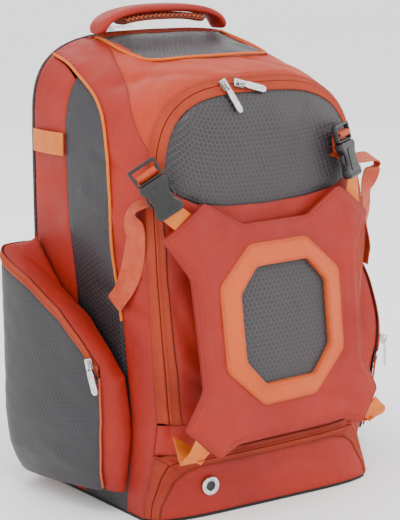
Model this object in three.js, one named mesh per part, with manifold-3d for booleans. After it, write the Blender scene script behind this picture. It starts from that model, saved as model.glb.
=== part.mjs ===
// Baseball bat backpack: a soft bag of sewn panels with a helmet flap, two side pockets and a shoe compartment.
// Millimetres, +Z up. The origin is on the floor under the middle of the body, the front faces -Y.
import * as THREE from "three";
import Module from "manifold-3d";
import { mergeVertices } from "three/addons/utils/BufferGeometryUtils.js";

const wasm = await Module();
wasm.setup();

// Driving sizes of the body
const BODY_HEIGHT = 484;
const BODY_WIDTH = 306;
const BODY_DEPTH = 187;
const BACK_Y = 88;
const FRONT_Y = BACK_Y - BODY_DEPTH;
const HALF = BODY_WIDTH / 2;

// Driving sizes of cloth, tape and trim
const CLOTH = 1.8;
const BASE_WALL = 3;
const GAP = 0.4;
const TAPE_GAP = 1.3;
const TAPE_WIDTH = 18;
const SMALL_TAPE_WIDTH = 12;
const COIL_HEIGHT = 1.6;
const PIPING_RADIUS = 1.5;
const WEBBING = 24;
const WEBBING_WALL = 1.8;

// Driving sizes of the padded back and the shoulder straps
const BACK_PAD = 11;
const SHOULDER_WIDTH = 62;
const SHOULDER_PAD = 12;

// Driving sizes of the front
const FRONT_CROWN = 15;
const SEAM_HEIGHT = 100;
const DOOR_HEIGHT = 55;
const BAND_FOOT = 69;
const EYELET_OUTER = 20;
const EYELET_HOLE = 10;
const BOTTOM_SWING = 30;
const SWING_HEIGHT = 210;
const RIGHT_BULGE = 36;
const BULGE_RISE = { from: 20, to: 170 };
const BULGE_FADE = { from: 250, to: 390 };
const ARCH_LEAN = 8;
const LEAN_RISE = { from: 370, to: 480 };

// Driving sizes of the side pockets
const POCKET_DEPTH = { left: 54, right: 76 };
const POCKET_HEIGHT = 258;
const POCKET_LENGTH = { left: 148, right: 158 };
const POCKET_FLOOR = { rear: 14, front: 30 };
const POCKET_SAG = { left: 0, right: 0.24 };
const POCKET_SEAM_GAP = 2;

// Driving sizes of the helmet flap
const FLAP_WIDTH = 266;
const FLAP_TOP = 331;
const FLAP_FOOT = 78;
const FLAP_WALL = 4;
const FLAP_REACH = 64;
const FLAP_FRONT_Y = FRONT_Y - FLAP_REACH;
const FLAP_LEAN = 0.146;
const FLAP_CURL = 10;
const RING_WALL = 2;
const WINDOW_WALL = 2;

// Driving sizes of the handle
const HANDLE_SPAN = 150;
const HANDLE_X = -5.5;
const HANDLE_TOP = 513;
const HANDLE_WIDTH = 30;
const HANDLE_WALL = 9;
const HANDLE_Y = 67;

// Driving sizes of the side-release buckles
const BUCKLE_WIDTH = 31;
const BUCKLE_LENGTH = 58;
const BUCKLE_WALL = 9;

// Driving sizes of the zip sliders and their pull tabs
const SLIDER = { width: 8, length: 11, height: 3, lift: 0.6 };
const PULL = { length: 32, width: 7, wall: 1.6, eye: 6.5 };
const PULL_CLEARANCE = 0.5;

// Body contours, seen from the front: a straight side up to the spring, then a superelliptic arch.
// half is a share of HALF, top and spring are shares of BODY_HEIGHT, depth is a share of BODY_DEPTH.
const CONTOURS = {
  back: { half: 1, top: 1, spring: 0.785, power: 3.5, depth: 0 },
  corner: { half: 0.922, top: 0.938, spring: 0.682, power: 2.7, depth: 0.989 },
  zip: { half: 0.85, top: 0.914, spring: 0.661, power: 3.2, depth: 1 },
};
const CORNER_POWER = 2.6;

// Width of the zip contour by height: height is a share of BODY_HEIGHT, width a share of its half width.
const WAIST = [
  { height: 0, width: 1.08 },
  { height: 0.04, width: 1.06 },
  { height: 0.093, width: 0.98 },
  { height: 0.143, width: 0.9 },
  { height: 0.207, width: 0.84 },
  { height: 0.438, width: 0.93 },
  { height: 0.605, width: 0.985 },
  { height: 0.661, width: 1 },
];

// Seams on the side: depth is a share of BODY_DEPTH from the back, height a share of BODY_HEIGHT.
const SIDE_PIPING = [
  { depth: 0.824, height: 0.0075 },
  { depth: 0.813, height: 0.165 },
  { depth: 0.791, height: 0.339 },
  { depth: 0.759, height: 0.488 },
  { depth: 0.727, height: 0.574 },
  { depth: 0.711, height: 0.68 },
  { depth: 0.679, height: 0.781 },
  { depth: 0.604, height: 0.847 },
  { depth: 0.508, height: 0.88 },
  { depth: 0.396, height: 0.903 },
  { depth: 0.289, height: 0.921 },
  { depth: 0.166, height: 0.94 },
  { depth: 0, height: 0.957 },
];
const TIP_ROW = 10;
const WEDGE_REAR = [
  { depth: 0.439, height: 0.0075 },
  { depth: 0.417, height: 0.31 },
  { depth: 0.374, height: 0.506 },
  { depth: 0.348, height: 0.591 },
  { depth: 0.321, height: 0.698 },
  { depth: 0.305, height: 0.785 },
  { depth: 0.3, height: 0.86 },
  { depth: 0.292, height: 0.912 },
];
const HOOD_SEAM = [
  { depth: 0.965, height: 0.79 },
  { depth: 0.898, height: 0.815 },
  { depth: 0.663, height: 0.903 },
  { depth: 0.433, height: 0.948 },
  { depth: 0.203, height: 0.977 },
];

// Border of the charcoal top panel, seen from above: across is a share of HALF, depth a share of BODY_DEPTH.
const TOP_BORDER = [
  { across: 0.588, depth: 0 },
  { across: 0.535, depth: 0.09 },
  { across: 0.542, depth: 0.315 },
  { across: 0.529, depth: 0.481 },
  { across: 0.497, depth: 0.561 },
  { across: 0.412, depth: 0.62 },
  { across: 0.17, depth: 0.658 },
  { across: 0, depth: 0.663 },
];
const CORNER_ROW = 4;
const ZIP_EDGE = 0.965;
const TOP_ZIP = { rear: 0.022, front: 0.078 };

// Bottom seam of the charcoal front pocket: across is a share of HALF, height a share of BODY_HEIGHT.
const POCKET_SEAM = [
  { across: 0, height: 0.661 },
  { across: 0.33, height: 0.665 },
  { across: 0.56, height: 0.676 },
  { across: 0.69, height: 0.695 },
  { across: 0.79, height: 0.72 },
];

// Broad dents of the skin: s and u are places on it, push is in millimetres, outwards.
const DENT_CENTRE = 0.6;
const DENTS = [
  { s: 1.52, sSpread: 0.12, u: 0.6, uSpread: 0.16, push: -4 },
  { s: 1.78, sSpread: 0.16, u: 0.86, uSpread: 0.12, push: 2.5 },
  { s: 1.1, sSpread: 0.14, u: 0.88, uSpread: 0.1, push: -3 },
  { s: 0.82, sSpread: 0.12, u: 0.5, uSpread: 0.3, push: 3 },
];

// Folds across the front: height is a share of BODY_HEIGHT, lean is the rise per millimetre across.
const FRONT_FOLDS = [
  { height: 0.62, spread: 12, push: 3, lean: 0.1 },
  { height: 0.49, spread: 16, push: -3, lean: -0.12 },
  { height: 0.35, spread: 14, push: 3, lean: 0.15 },
  { height: 0.26, spread: 12, push: -2.5, lean: 0.05 },
];

// Outline of the helmet flap, upper right then lower right: across is a share of half FLAP_WIDTH,
// height a share of the way from FLAP_FOOT to FLAP_TOP.
const FLAP_OUTLINE = [
  { across: 0.316, height: 0.897 },
  { across: 0.655, height: 1 },
  { across: 1, height: 0.868 },
  { across: 0.815, height: 0.711 },
  { across: 0.8, height: 0.506 },
  { across: 0.79, height: 0.273 },
  { across: 0.955, height: 0.123 },
  { across: 0.707, height: 0 },
  { across: 0.526, height: 0.04 },
];
const RING_OUTLINE = [
  { across: 0.278, height: 0.818 },
  { across: 0.587, height: 0.668 },
  { across: 0.58, height: 0.332 },
  { across: 0.256, height: 0.17 },
];
const WINDOW_OUTLINE = [
  { across: 0.253, height: 0.731 },
  { across: 0.419, height: 0.632 },
  { across: 0.415, height: 0.364 },
  { across: 0.24, height: 0.257 },
];

// Plan of a side pocket from the body's back edge round to the front: along is a share of POCKET_LENGTH,
// out a share of POCKET_DEPTH.
const POCKET_PLAN = [
  { along: 0, out: 0.02 },
  { along: -0.02, out: 0.3 },
  { along: -0.015, out: 0.6 },
  { along: 0.03, out: 0.86 },
  { along: 0.12, out: 0.98 },
  { along: 0.3, out: 1 },
  { along: 0.55, out: 0.93 },
  { along: 0.78, out: 0.82 },
  { along: 0.93, out: 0.72 },
  { along: 1, out: 0.65 },
];
// Fullness of a side pocket by height: height is a share of POCKET_HEIGHT.
const POCKET_FULLNESS = [
  { height: 0, full: 0.45 },
  { height: 0.05, full: 0.57 },
  { height: 0.12, full: 0.76 },
  { height: 0.2, full: 0.91 },
  { height: 0.35, full: 1 },
  { height: 1, full: 1 },
];
// Upper edge of the pocket's face and its attachment to the side, by the way along the pocket.
const POCKET_ZIP_LINE = [
  { along: 0, height: 1.01 },
  { along: 0.05, height: 1 },
  { along: 0.41, height: 0.925 },
  { along: 0.7, height: 0.82 },
  { along: 0.88, height: 0.71 },
  { along: 1, height: 0.61 },
];
const POCKET_ATTACH = [
  { along: 0.02, height: 1.05 },
  { along: 0.335, height: 0.868 },
  { along: 0.66, height: 0.78 },
  { along: 0.876, height: 0.66 },
  { along: 1, height: 0.57 },
  { along: 1.05, height: 0.34 },
  { along: 1.05, height: 0.1 },
];

// Colours from the photo
const FINISH = {
  cloth: { color: 0xcd4b37, roughness: 0.75, metalness: 0 },
  charcoal: { color: 0x56525a, roughness: 0.6, metalness: 0 },
  dark: { color: 0x4a2f30, roughness: 0.8, metalness: 0 },
  bright: { color: 0xff9628, roughness: 0.7, metalness: 0 },
  strap: { color: 0xeb783c, roughness: 0.7, metalness: 0 },
  tape: { color: 0xde6e3a, roughness: 0.7, metalness: 0 },
  ring: { color: 0xf88c50, roughness: 0.7, metalness: 0 },
  plastic: { color: 0x282a2a, roughness: 0.4, metalness: 0 },
  metal: { color: 0xc8c8c4, roughness: 0.25, metalness: 1 },
};

const bag = new THREE.Group();
const v3 = (x, y, z) => new THREE.Vector3(x, y, z);
const mix = THREE.MathUtils.lerp;
const clamp = THREE.MathUtils.clamp;

function add(name, geometry, finish) {
  const mesh = new THREE.Mesh(geometry, new THREE.MeshStandardMaterial(FINISH[finish]));
  mesh.name = name;
  bag.add(mesh);
  return mesh;
}

// Straight-line value of a table between its rows
function read(table, key, value, x) {
  const last = table.length - 1;
  const rising = table[last][key] > table[0][key];
  for (let i = 0; i < last; i++) {
    const a = table[i];
    const b = table[i + 1];
    if (rising ? x <= b[key] : x >= b[key]) {
      return mix(a[value], b[value], clamp((x - a[key]) / (b[key] - a[key]), 0, 1));
    }
  }
  return table[last][value];
}

// The body surface
function contourPoint(c, s) {
  const spring = c.spring * BODY_HEIGHT;
  const top = c.top * BODY_HEIGHT;
  const half = c.half * HALF;
  const y = BACK_Y - c.depth * BODY_DEPTH;
  if (s <= 1) {
    const z = s * spring;
    const waist = c === CONTOURS.zip ? read(WAIST, "height", "width", z / BODY_HEIGHT) : 1;
    return v3(-half * waist, y, z);
  }
  const turn = ((s - 1) * Math.PI) / 2;
  const across = Math.pow(Math.max(Math.cos(turn), 0), 2 / c.power);
  const rise = Math.pow(Math.max(Math.sin(turn), 0), 2 / c.power);
  return v3(-half * across, y, spring + (top - spring) * rise);
}

// The filled right half stands out sideways at mid height, and the arch leans to the left, most at the front.
const ramp = (z, band) => THREE.MathUtils.smoothstep(z, band.from, band.to);
const frontShare = (p) => clamp((BACK_Y - p.y) / BODY_DEPTH, 0, 1);
function sideways(p) {
  const side = clamp(p.x / HALF, 0, 1);
  const front = frontShare(p);
  const bulge = RIGHT_BULGE * side * side * front * ramp(p.z, BULGE_RISE) * (1 - ramp(p.z, BULGE_FADE));
  return bulge - ARCH_LEAN * front * front * ramp(p.z, LEAN_RISE);
}
// The filled front of the shoe compartment pushes forward and to the right near the floor.
function swing(p) {
  const side = clamp((p.x + HALF) / BODY_WIDTH, 0, 1);
  const low = Math.pow(clamp(1 - p.z / SWING_HEIGHT, 0, 1), 1.5);
  const forward = BOTTOM_SWING * side * low * frontShare(p);
  p.x += sideways(p);
  p.y -= forward;
  return p;
}

// s runs 0 to 1 up the left side, to 2 at the top middle and on to 4 down the right side; u runs back to front.
function plainSkin(s, u) {
  const left = s <= 2 ? s : 4 - s;
  const b = contourPoint(CONTOURS.back, left);
  const k = contourPoint(CONTOURS.corner, left);
  const z = contourPoint(CONTOURS.zip, left);
  const turn = 1 - Math.pow(1 - Math.pow(clamp(u, 0, 1), CORNER_POWER), 1 / CORNER_POWER);
  const p = b.clone().addScaledVector(k.clone().sub(b), u).addScaledVector(z.clone().sub(k), turn);
  if (s > 2) p.x = -p.x;
  return p;
}
// The skin with its broad dents, pushed along the line from the bag's middle
function skin(s, u) {
  const left = s <= 2 ? s : 4 - s;
  const p = plainSkin(s, u);
  const away = v3(p.x, 0, p.z - DENT_CENTRE * BODY_HEIGHT).normalize();
  for (const d of DENTS) {
    const a = (left - d.s) / d.sSpread;
    const b = (u - d.u) / d.uSpread;
    p.addScaledVector(away, d.push * Math.exp(-a * a - b * b));
  }
  return swing(p);
}

function solve(f, target, low, high) {
  const up = f(high) > f(low);
  for (let i = 0; i < 40; i++) {
    const m = (low + high) / 2;
    if (f(m) < target === up) low = m;
    else high = m;
  }
  return (low + high) / 2;
}
const sAtHeight = (u, z) => solve((s) => plainSkin(s, u).z, z, 0, 2);
const sAtAcross = (u, x) => solve((s) => plainSkin(s, u).x, -x, 1, 2);
const sideSpot = (r) => ({ s: sAtHeight(r.depth, r.height * BODY_HEIGHT), u: r.depth });
const topSpot = (r) => ({ s: sAtAcross(r.depth, r.across * HALF), u: r.depth });

// A curve through spots on the skin, smooth, with its way measured in about millimetres
const S_LENGTH = 260;
function spotCurve(spots) {
  const points = spots.map((p) => v3(p.s * S_LENGTH, p.u * BODY_DEPTH, 0));
  const line = new THREE.CatmullRomCurve3(points, false, "centripetal");
  return (t) => {
    const p = line.getPointAt(clamp(t, 0, 1));
    return { s: p.x / S_LENGTH, u: p.y / BODY_DEPTH };
  };
}
const lineSpots = (a, b) => (t) => ({ s: mix(a.s, b.s, t), u: mix(a.u, b.u, t) });
const chain = (f, g, at) => (t) => (t < at ? f(t / at) : g((t - at) / (1 - at)));
const back2front = (f) => (t) => f(1 - t);
const mirrored = (f) => (t) => {
  const p = f(t);
  return { s: 4 - p.s, u: p.u };
};

// Coons blend of four edges given in any plane coordinates
function blend(c0, c1, d0, d1) {
  const keys = Object.keys(c0(0));
  const p00 = c0(0);
  const p10 = c0(1);
  const p01 = c1(0);
  const p11 = c1(1);
  return (a, b) => {
    const e0 = c0(a);
    const e1 = c1(a);
    const f0 = d0(b);
    const f1 = d1(b);
    const out = {};
    for (const k of keys) {
      const corners = mix(mix(p00[k], p10[k], a), mix(p01[k], p11[k], a), b);
      out[k] = mix(e0[k], e1[k], b) + mix(f0[k], f1[k], a) - corners;
    }
    return out;
  };
}

// Closed solid between two grids of points with the same rows and columns
function gridSolid(outer, inner) {
  const rows = outer.length;
  const cols = outer[0].length;
  const points = [...outer.flat(), ...inner.flat()];
  const id = (i, j, k) => k * rows * cols + i * cols + j;
  const faces = [];
  const quad = (a, b, c, d) => faces.push([a, b, c], [a, c, d]);
  for (let i = 0; i < rows - 1; i++) {
    for (let j = 0; j < cols - 1; j++) {
      quad(id(i, j, 0), id(i + 1, j, 0), id(i + 1, j + 1, 0), id(i, j + 1, 0));
      quad(id(i, j, 1), id(i, j + 1, 1), id(i + 1, j + 1, 1), id(i + 1, j, 1));
    }
  }
  for (let i = 0; i < rows - 1; i++) {
    quad(id(i, 0, 0), id(i, 0, 1), id(i + 1, 0, 1), id(i + 1, 0, 0));
    quad(id(i, cols - 1, 0), id(i + 1, cols - 1, 0), id(i + 1, cols - 1, 1), id(i, cols - 1, 1));
  }
  for (let j = 0; j < cols - 1; j++) {
    quad(id(0, j, 0), id(0, j + 1, 0), id(0, j + 1, 1), id(0, j, 1));
    quad(id(rows - 1, j, 0), id(rows - 1, j, 1), id(rows - 1, j + 1, 1), id(rows - 1, j + 1, 0));
  }
  return fromFaces(points, faces);
}

// Geometry from points and triangles, turned to face outwards
function fromFaces(points, faces) {
  let volume = 0;
  for (const [a, b, c] of faces) {
    volume += points[a].dot(points[b].clone().cross(points[c]));
  }
  const geometry = new THREE.BufferGeometry();
  geometry.setAttribute("position", new THREE.Float32BufferAttribute(points.flatMap((p) => p.toArray()), 3));
  geometry.setIndex(faces.flatMap(([a, b, c]) => (volume > 0 ? [a, b, c] : [a, c, b])));
  geometry.computeVertexNormals();
  return geometry;
}

// Cloth wall whose outer face passes through at(a, b); the edges stand back by the gap.
const BODY_MIDDLE = v3(0, 0, BODY_HEIGHT / 2);
function cloth(at, rows, cols, { wall = CLOTH, gap = GAP, middle = BODY_MIDDLE, normal = null } = {}) {
  const outer = [];
  for (let i = 0; i <= rows; i++) {
    outer.push([]);
    for (let j = 0; j <= cols; j++) outer[i].push(at(i / rows, j / cols));
  }
  const step = (p, q) => q.clone().sub(p).setLength(Math.min(gap, p.distanceTo(q) / 3));
  for (let i = 0; i <= rows; i++) {
    outer[i][0].add(step(outer[i][0], outer[i][1]));
    outer[i][cols].add(step(outer[i][cols], outer[i][cols - 1]));
  }
  for (let j = 0; j <= cols; j++) {
    outer[0][j].add(step(outer[0][j], outer[1][j]));
    outer[rows][j].add(step(outer[rows][j], outer[rows - 1][j]));
  }
  const normals = outer.map((row, i) =>
    row.map((p, j) => {
      if (normal) return normal(i / rows, j / cols);
      const along = outer[Math.min(i + 1, rows)][j].clone().sub(outer[Math.max(i - 1, 0)][j]);
      const across = outer[i][Math.min(j + 1, cols)].clone().sub(outer[i][Math.max(j - 1, 0)]);
      return along.cross(across).normalize();
    }),
  );
  const mid = outer[rows >> 1][cols >> 1];
  const sign = normals[rows >> 1][cols >> 1].dot(mid.clone().sub(middle)) < 0 ? -1 : 1;
  const inner = outer.map((row, i) =>
    row.map((p, j) => p.clone().addScaledVector(normals[i][j], -sign * wall)),
  );
  return gridSolid(outer, inner);
}

// Section swept along points, with an out direction at each; section rows are { across, out }.
function sweep(points, outs, section) {
  const rings = points.map((p, i) => {
    const next = points[Math.min(i + 1, points.length - 1)];
    const along = next.clone().sub(points[Math.max(i - 1, 0)]).normalize();
    const across = along.clone().cross(outs[i]).normalize();
    const out = across.clone().cross(along).normalize();
    return section.map((r) => p.clone().addScaledVector(across, r.across).addScaledVector(out, r.out));
  });
  const n = section.length;
  const faces = [];
  for (let i = 0; i < rings.length - 1; i++) {
    for (let j = 0; j < n; j++) {
      const k = (j + 1) % n;
      faces.push([i * n + j, i * n + k, (i + 1) * n + k], [i * n + j, (i + 1) * n + k, (i + 1) * n + j]);
    }
  }
  const end = (rings.length - 1) * n;
  const cap = THREE.ShapeUtils.triangulateShape(section.map((r) => new THREE.Vector2(r.across, r.out)), []);
  for (const [a, b, c] of cap) faces.push([a, c, b], [end + a, end + b, end + c]);
  return fromFaces(rings.flat(), faces);
}
const round = (radius, sides = 6) =>
  Array.from({ length: sides }, (_, i) => ({
    across: radius * Math.cos((2 * Math.PI * i) / sides),
    out: radius * Math.sin((2 * Math.PI * i) / sides),
  }));
const flat = (width, wall) => [
  { across: -width / 2, out: 0 },
  { across: width / 2, out: 0 },
  { across: width / 2, out: wall },
  { across: -width / 2, out: wall },
];

function skinNormal(s, u) {
  const h = 0.01;
  const ds = skin(s + h, u).sub(skin(s - h, u));
  const du = skin(s, Math.min(u + h, 1)).sub(skin(s, Math.max(u - h, 0)));
  const n = ds.cross(du).normalize();
  return n.dot(skin(s, u).sub(v3(0, 0, BODY_HEIGHT / 2))) < 0 ? n.negate() : n;
}

// Boolean cut of one geometry from another
function toSolid(geometry) {
  const g = new THREE.BufferGeometry();
  g.setAttribute("position", geometry.getAttribute("position").clone());
  if (geometry.index) g.setIndex(geometry.index.clone());
  const merged = mergeVertices(g, 1e-4);
  return new wasm.Manifold(
    new wasm.Mesh({
      numProp: 3,
      vertProperties: new Float32Array(merged.attributes.position.array),
      triVerts: new Uint32Array(merged.index.array),
    }),
  );
}
function fromSolid(solid) {
  const mesh = solid.getMesh();
  const g = new THREE.BufferGeometry();
  const positions = [];
  for (let i = 0; i < mesh.numVert; i++) {
    for (let k = 0; k < 3; k++) positions.push(mesh.vertProperties[i * mesh.numProp + k]);
  }
  g.setAttribute("position", new THREE.Float32BufferAttribute(positions, 3));
  g.setIndex([...mesh.triVerts]);
  return g;
}

// Spots of the floor line, the seams and the zip edge
const FLOOR_Z = BASE_WALL + GAP;
const floorSpot = (u) => ({ s: sAtHeight(u, FLOOR_Z), u });
const wedgeRear = spotCurve([floorSpot(WEDGE_REAR[0].depth), ...WEDGE_REAR.slice(1).map(sideSpot)]);
const pipingToTip = spotCurve([
  floorSpot(SIDE_PIPING[0].depth),
  ...SIDE_PIPING.slice(1, TIP_ROW + 1).map(sideSpot),
]);
const pipingFromTip = spotCurve(SIDE_PIPING.slice(TIP_ROW).map(sideSpot));
const topBorder = TOP_BORDER.map(topSpot);
const hoodSeam = spotCurve([...HOOD_SEAM.map(sideSpot), topBorder[0]]);
const zipJunction = hoodSeam(0);
const zipEdge = (from, to) => (t) => ({ s: mix(from, to, t), u: ZIP_EDGE });
const backTop = pipingFromTip(1);

const onSkin = (patch, side) => (a, b) => {
  const p = patch(a, b);
  return side < 0 ? skin(p.s, p.u) : skin(4 - p.s, p.u);
};
const skinOut = (patch, side) => (a, b) => {
  const p = patch(a, b);
  return side < 0 ? skinNormal(p.s, p.u) : skinNormal(4 - p.s, p.u);
};
const skinCloth = (patch, side, rows, cols, gap = GAP) =>
  cloth(onSkin(patch, side), rows, cols, { normal: skinOut(patch, side), gap });
const SIDES = [
  { name: "left", sign: -1 },
  { name: "right", sign: 1 },
];

// Side panels: the rear strip, the charcoal wedge and the front gusset
const stripTop = (t) => {
  const p = pipingFromTip(1 - t);
  const a = wedgeRear(1);
  const b = pipingFromTip(0);
  return { s: p.s + t * (a.s - b.s), u: p.u + t * (a.u - b.u) };
};
const strip = blend(
  (t) => ({ s: mix(floorSpot(0).s, backTop.s, t), u: 0 }),
  wedgeRear,
  (t) => floorSpot(mix(0, wedgeRear(0).u, t)),
  stripTop,
);
const wedge = blend(
  wedgeRear,
  pipingToTip,
  (t) => floorSpot(mix(wedgeRear(0).u, pipingToTip(0).u, t)),
  lineSpots(wedgeRear(1), pipingToTip(1)),
);
const SIDE_ROWS = 15;
const SHOULDER_ROWS = 5;
const GUSSET_ROWS = SIDE_ROWS + SHOULDER_ROWS;
const HOOD_COLUMNS = 6;
const GUSSET_SPLIT = 1 - HOOD_COLUMNS / GUSSET_ROWS;
const sideSeam = chain(pipingToTip, pipingFromTip, SIDE_ROWS / GUSSET_ROWS);
const gusset = blend(
  sideSeam,
  chain(zipEdge(floorSpot(ZIP_EDGE).s, zipJunction.s), hoodSeam, GUSSET_SPLIT),
  (t) => floorSpot(mix(sideSeam(0).u, ZIP_EDGE, t)),
  lineSpots(backTop, topBorder[0]),
);
for (const side of SIDES) {
  add("side_strip_" + side.name, skinCloth(strip, side.sign, SIDE_ROWS, SHOULDER_ROWS), "cloth");
  add("side_wedge_" + side.name, skinCloth(wedge, side.sign, SIDE_ROWS, 4), "charcoal");
  add("gusset_" + side.name, skinCloth(gusset, side.sign, GUSSET_ROWS, 5), "cloth");
}

// Top: the charcoal panel inside its border, the zip behind it and the dark band behind the zip
const wholeBorder = spotCurve([
  ...topBorder,
  ...topBorder.slice(0, -1).reverse().map((p) => ({ s: 4 - p.s, u: p.u })),
]);
const borderWay = (depth) => solve((t) => wholeBorder(t).u, depth, 0, 0.45);
const panelWay = borderWay(TOP_ZIP.front);
const cornerWay = borderWay(TOP_BORDER[CORNER_ROW].depth);
const borderToCorner = (t) => wholeBorder(mix(panelWay, cornerWay, t));
const borderFront = (t) => wholeBorder(mix(cornerWay, 1 - cornerWay, t));
const across = (u, s) => (t) => ({ s: mix(s, 4 - s, t), u });
const topRearS = borderToCorner(0).s;
const topPatch = blend(across(TOP_ZIP.front, topRearS), borderFront, borderToCorner, mirrored(borderToCorner));
const BORDER_GAP = 2.8;
add("top_panel", skinCloth(topPatch, -1, 12, 5, BORDER_GAP), "charcoal");
const topBand = (rear, front) => (a, b) => {
  const u = mix(rear, front, b);
  const s = sAtAcross(u, read(TOP_BORDER, "depth", "across", u) * HALF);
  return { s: mix(s, 4 - s, a), u };
};
add("top_rear_band", skinCloth(topBand(0, TOP_ZIP.rear), -1, 12, 1, BORDER_GAP), "dark");

// A zip is a thin tape with a raised coil down its middle, between two edges of points.
function zip(edgeA, edgeB, rows, out) {
  const columns = [
    { way: 0, lift: 0 },
    { way: 0.36, lift: 0 },
    { way: 0.5, lift: 1 },
    { way: 0.64, lift: 0 },
    { way: 1, lift: 0 },
  ];
  return cloth(
    (a, b) => {
      const column = columns[Math.round(b * (columns.length - 1))];
      const p = edgeA(a).lerp(edgeB(a), column.way);
      return p.addScaledVector(out(a), column.lift * COIL_HEIGHT);
    },
    rows,
    columns.length - 1,
    { gap: TAPE_GAP },
  );
}
const topZipEdge = (u) => (t) => onSkin(topBand(u, u), -1)(t, 0);
add("top_zip", zip(topZipEdge(TOP_ZIP.rear), topZipEdge(TOP_ZIP.front), 12, () => v3(0, 0, 1)), "tape");

// Hood: from the top border over the shoulders to the arched zip
const hood = blend(
  wholeBorder,
  zipEdge(zipJunction.s, 4 - zipJunction.s),
  back2front(hoodSeam),
  mirrored(back2front(hoodSeam)),
);
add("hood", skinCloth(hood, -1, 24, HOOD_COLUMNS), "cloth");

// The front: points inside the zip contour, crowned and folded
function reach(x, z) {
  const c = CONTOURS.zip;
  const spring = c.spring * BODY_HEIGHT;
  const half = c.half * HALF;
  if (z <= spring) return Math.abs(x) / (half * read(WAIST, "height", "width", z / BODY_HEIGHT));
  const rise = (z - spring) / (c.top * BODY_HEIGHT - spring);
  return Math.pow(Math.pow(Math.abs(x) / half, c.power) + Math.pow(rise, c.power), 1 / c.power);
}
function frontPoint(x, z) {
  const r = Math.min(reach(x, z), 1);
  const fill = 1 - Math.pow(r, 6);
  let fold = 0;
  for (const f of FRONT_FOLDS) {
    const off = (z - f.height * BODY_HEIGHT - f.lean * x) / f.spread;
    fold += f.push * Math.exp(-off * off);
  }
  const low = z < SEAM_HEIGHT ? 0 : 1;
  return swing(v3(x, FRONT_Y - FRONT_CROWN * fill - low * fold * fill, z));
}
const onFront = (patch) => (a, b) => {
  const p = patch(a, b);
  return frontPoint(p.x, p.z);
};

// Inner edge of the front zip: the contour moved inwards by half the tape
const ZIP_FOOT_S = solve((s) => contourPoint(CONTOURS.zip, s).z, SEAM_HEIGHT, 0, 1);
function zipInner(s) {
  const left = s <= 2 ? s : 4 - s;
  const h = 0.004;
  const a = contourPoint(CONTOURS.zip, Math.max(left - h, 0));
  const b = contourPoint(CONTOURS.zip, Math.min(left + h, 2));
  const p = contourPoint(CONTOURS.zip, left);
  const along = b.sub(a).normalize();
  const x = p.x + (along.z * TAPE_WIDTH) / 2;
  const z = p.z - (along.x * TAPE_WIDTH) / 2;
  return { x: s <= 2 ? x : -x, z };
}
const seam = (t) => {
  const x = mix(-1, 1, t) * POCKET_SEAM[POCKET_SEAM.length - 1].across * HALF;
  return { x, z: read(POCKET_SEAM, "across", "height", Math.abs(x) / HALF) * BODY_HEIGHT };
};
const seamS = solve((s) => zipInner(s).z, seam(0).z, 0.5, 1.5);
const seamEnd = zipInner(seamS);
const seamLine = (t) => {
  const p = seam(t);
  return { x: p.x * (seamEnd.x / seam(0).x), z: p.z };
};
const ARCH_CORNER = 1.46;
const FRONT_ROWS = 12;
const upperPatch = blend(
  seamLine,
  (t) => zipInner(mix(ARCH_CORNER, 4 - ARCH_CORNER, t)),
  (t) => zipInner(mix(seamS, ARCH_CORNER, t)),
  (t) => zipInner(4 - mix(seamS, ARCH_CORNER, t)),
);
add("front_upper_panel", cloth(onFront(upperPatch), FRONT_ROWS, 6), "charcoal");
const footEdge = (t) => {
  const p = zipInner(ZIP_FOOT_S);
  return { x: mix(p.x, -p.x, t), z: SEAM_HEIGHT };
};
const lowerPatch = blend(
  footEdge,
  seamLine,
  (t) => ({ x: zipInner(mix(ZIP_FOOT_S, seamS, t)).x, z: mix(SEAM_HEIGHT, seam(0).z, t) }),
  (t) => ({ x: -zipInner(mix(ZIP_FOOT_S, seamS, t)).x, z: mix(SEAM_HEIGHT, seam(0).z, t) }),
);
add("front_lower_panel", cloth(onFront(lowerPatch), FRONT_ROWS, 10), "cloth");

const zipOuterPoint = (s) => skin(s, ZIP_EDGE);
const zipInnerPoint = (s) => {
  const p = zipInner(s);
  return frontPoint(p.x, p.z);
};
const zipWay = (t) => mix(ZIP_FOOT_S, 4 - ZIP_FOOT_S, t);
function zipOut(t) {
  const s = zipWay(t);
  return zipOuterPoint(s).sub(v3(0, 0, zipOuterPoint(s).z * 0.9)).setY(FRONT_Y * 2).normalize();
}
add("front_zip", zip((t) => zipOuterPoint(zipWay(t)), (t) => zipInnerPoint(zipWay(t)), 30, zipOut), "tape");

// Shoe compartment: the band above it, its zip and its door
const bandTopS = solve((s) => skin(s, ZIP_EDGE).z, SEAM_HEIGHT, 0, 1);
const bandFootS = solve((s) => skin(s, ZIP_EDGE).z, BAND_FOOT, 0, 1);
const floorS = floorSpot(ZIP_EDGE).s;
add(
  "lower_band",
  cloth(
    (a, b) => {
      const s = mix(bandTopS, bandFootS, b);
      const edge = skin(s, ZIP_EDGE);
      const far = skin(4 - s, ZIP_EDGE);
      const x = mix(edge.x, far.x, a);
      if (a === 0) return edge;
      if (a === 1) return far;
      return frontPoint(x, edge.z);
    },
    12,
    2,
  ),
  "cloth",
);
const DOOR_SPLIT = 0.24;
const doorOuter = (t) => {
  if (t <= DOOR_SPLIT) return skin(mix(floorS, bandFootS, t / DOOR_SPLIT), ZIP_EDGE);
  if (t >= 1 - DOOR_SPLIT) return skin(4 - mix(floorS, bandFootS, (1 - t) / DOOR_SPLIT), ZIP_EDGE);
  const x = mix(-1, 1, (t - DOOR_SPLIT) / (1 - 2 * DOOR_SPLIT)) * Math.abs(skin(bandFootS, ZIP_EDGE).x);
  return frontPoint(x, BAND_FOOT);
};
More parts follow.
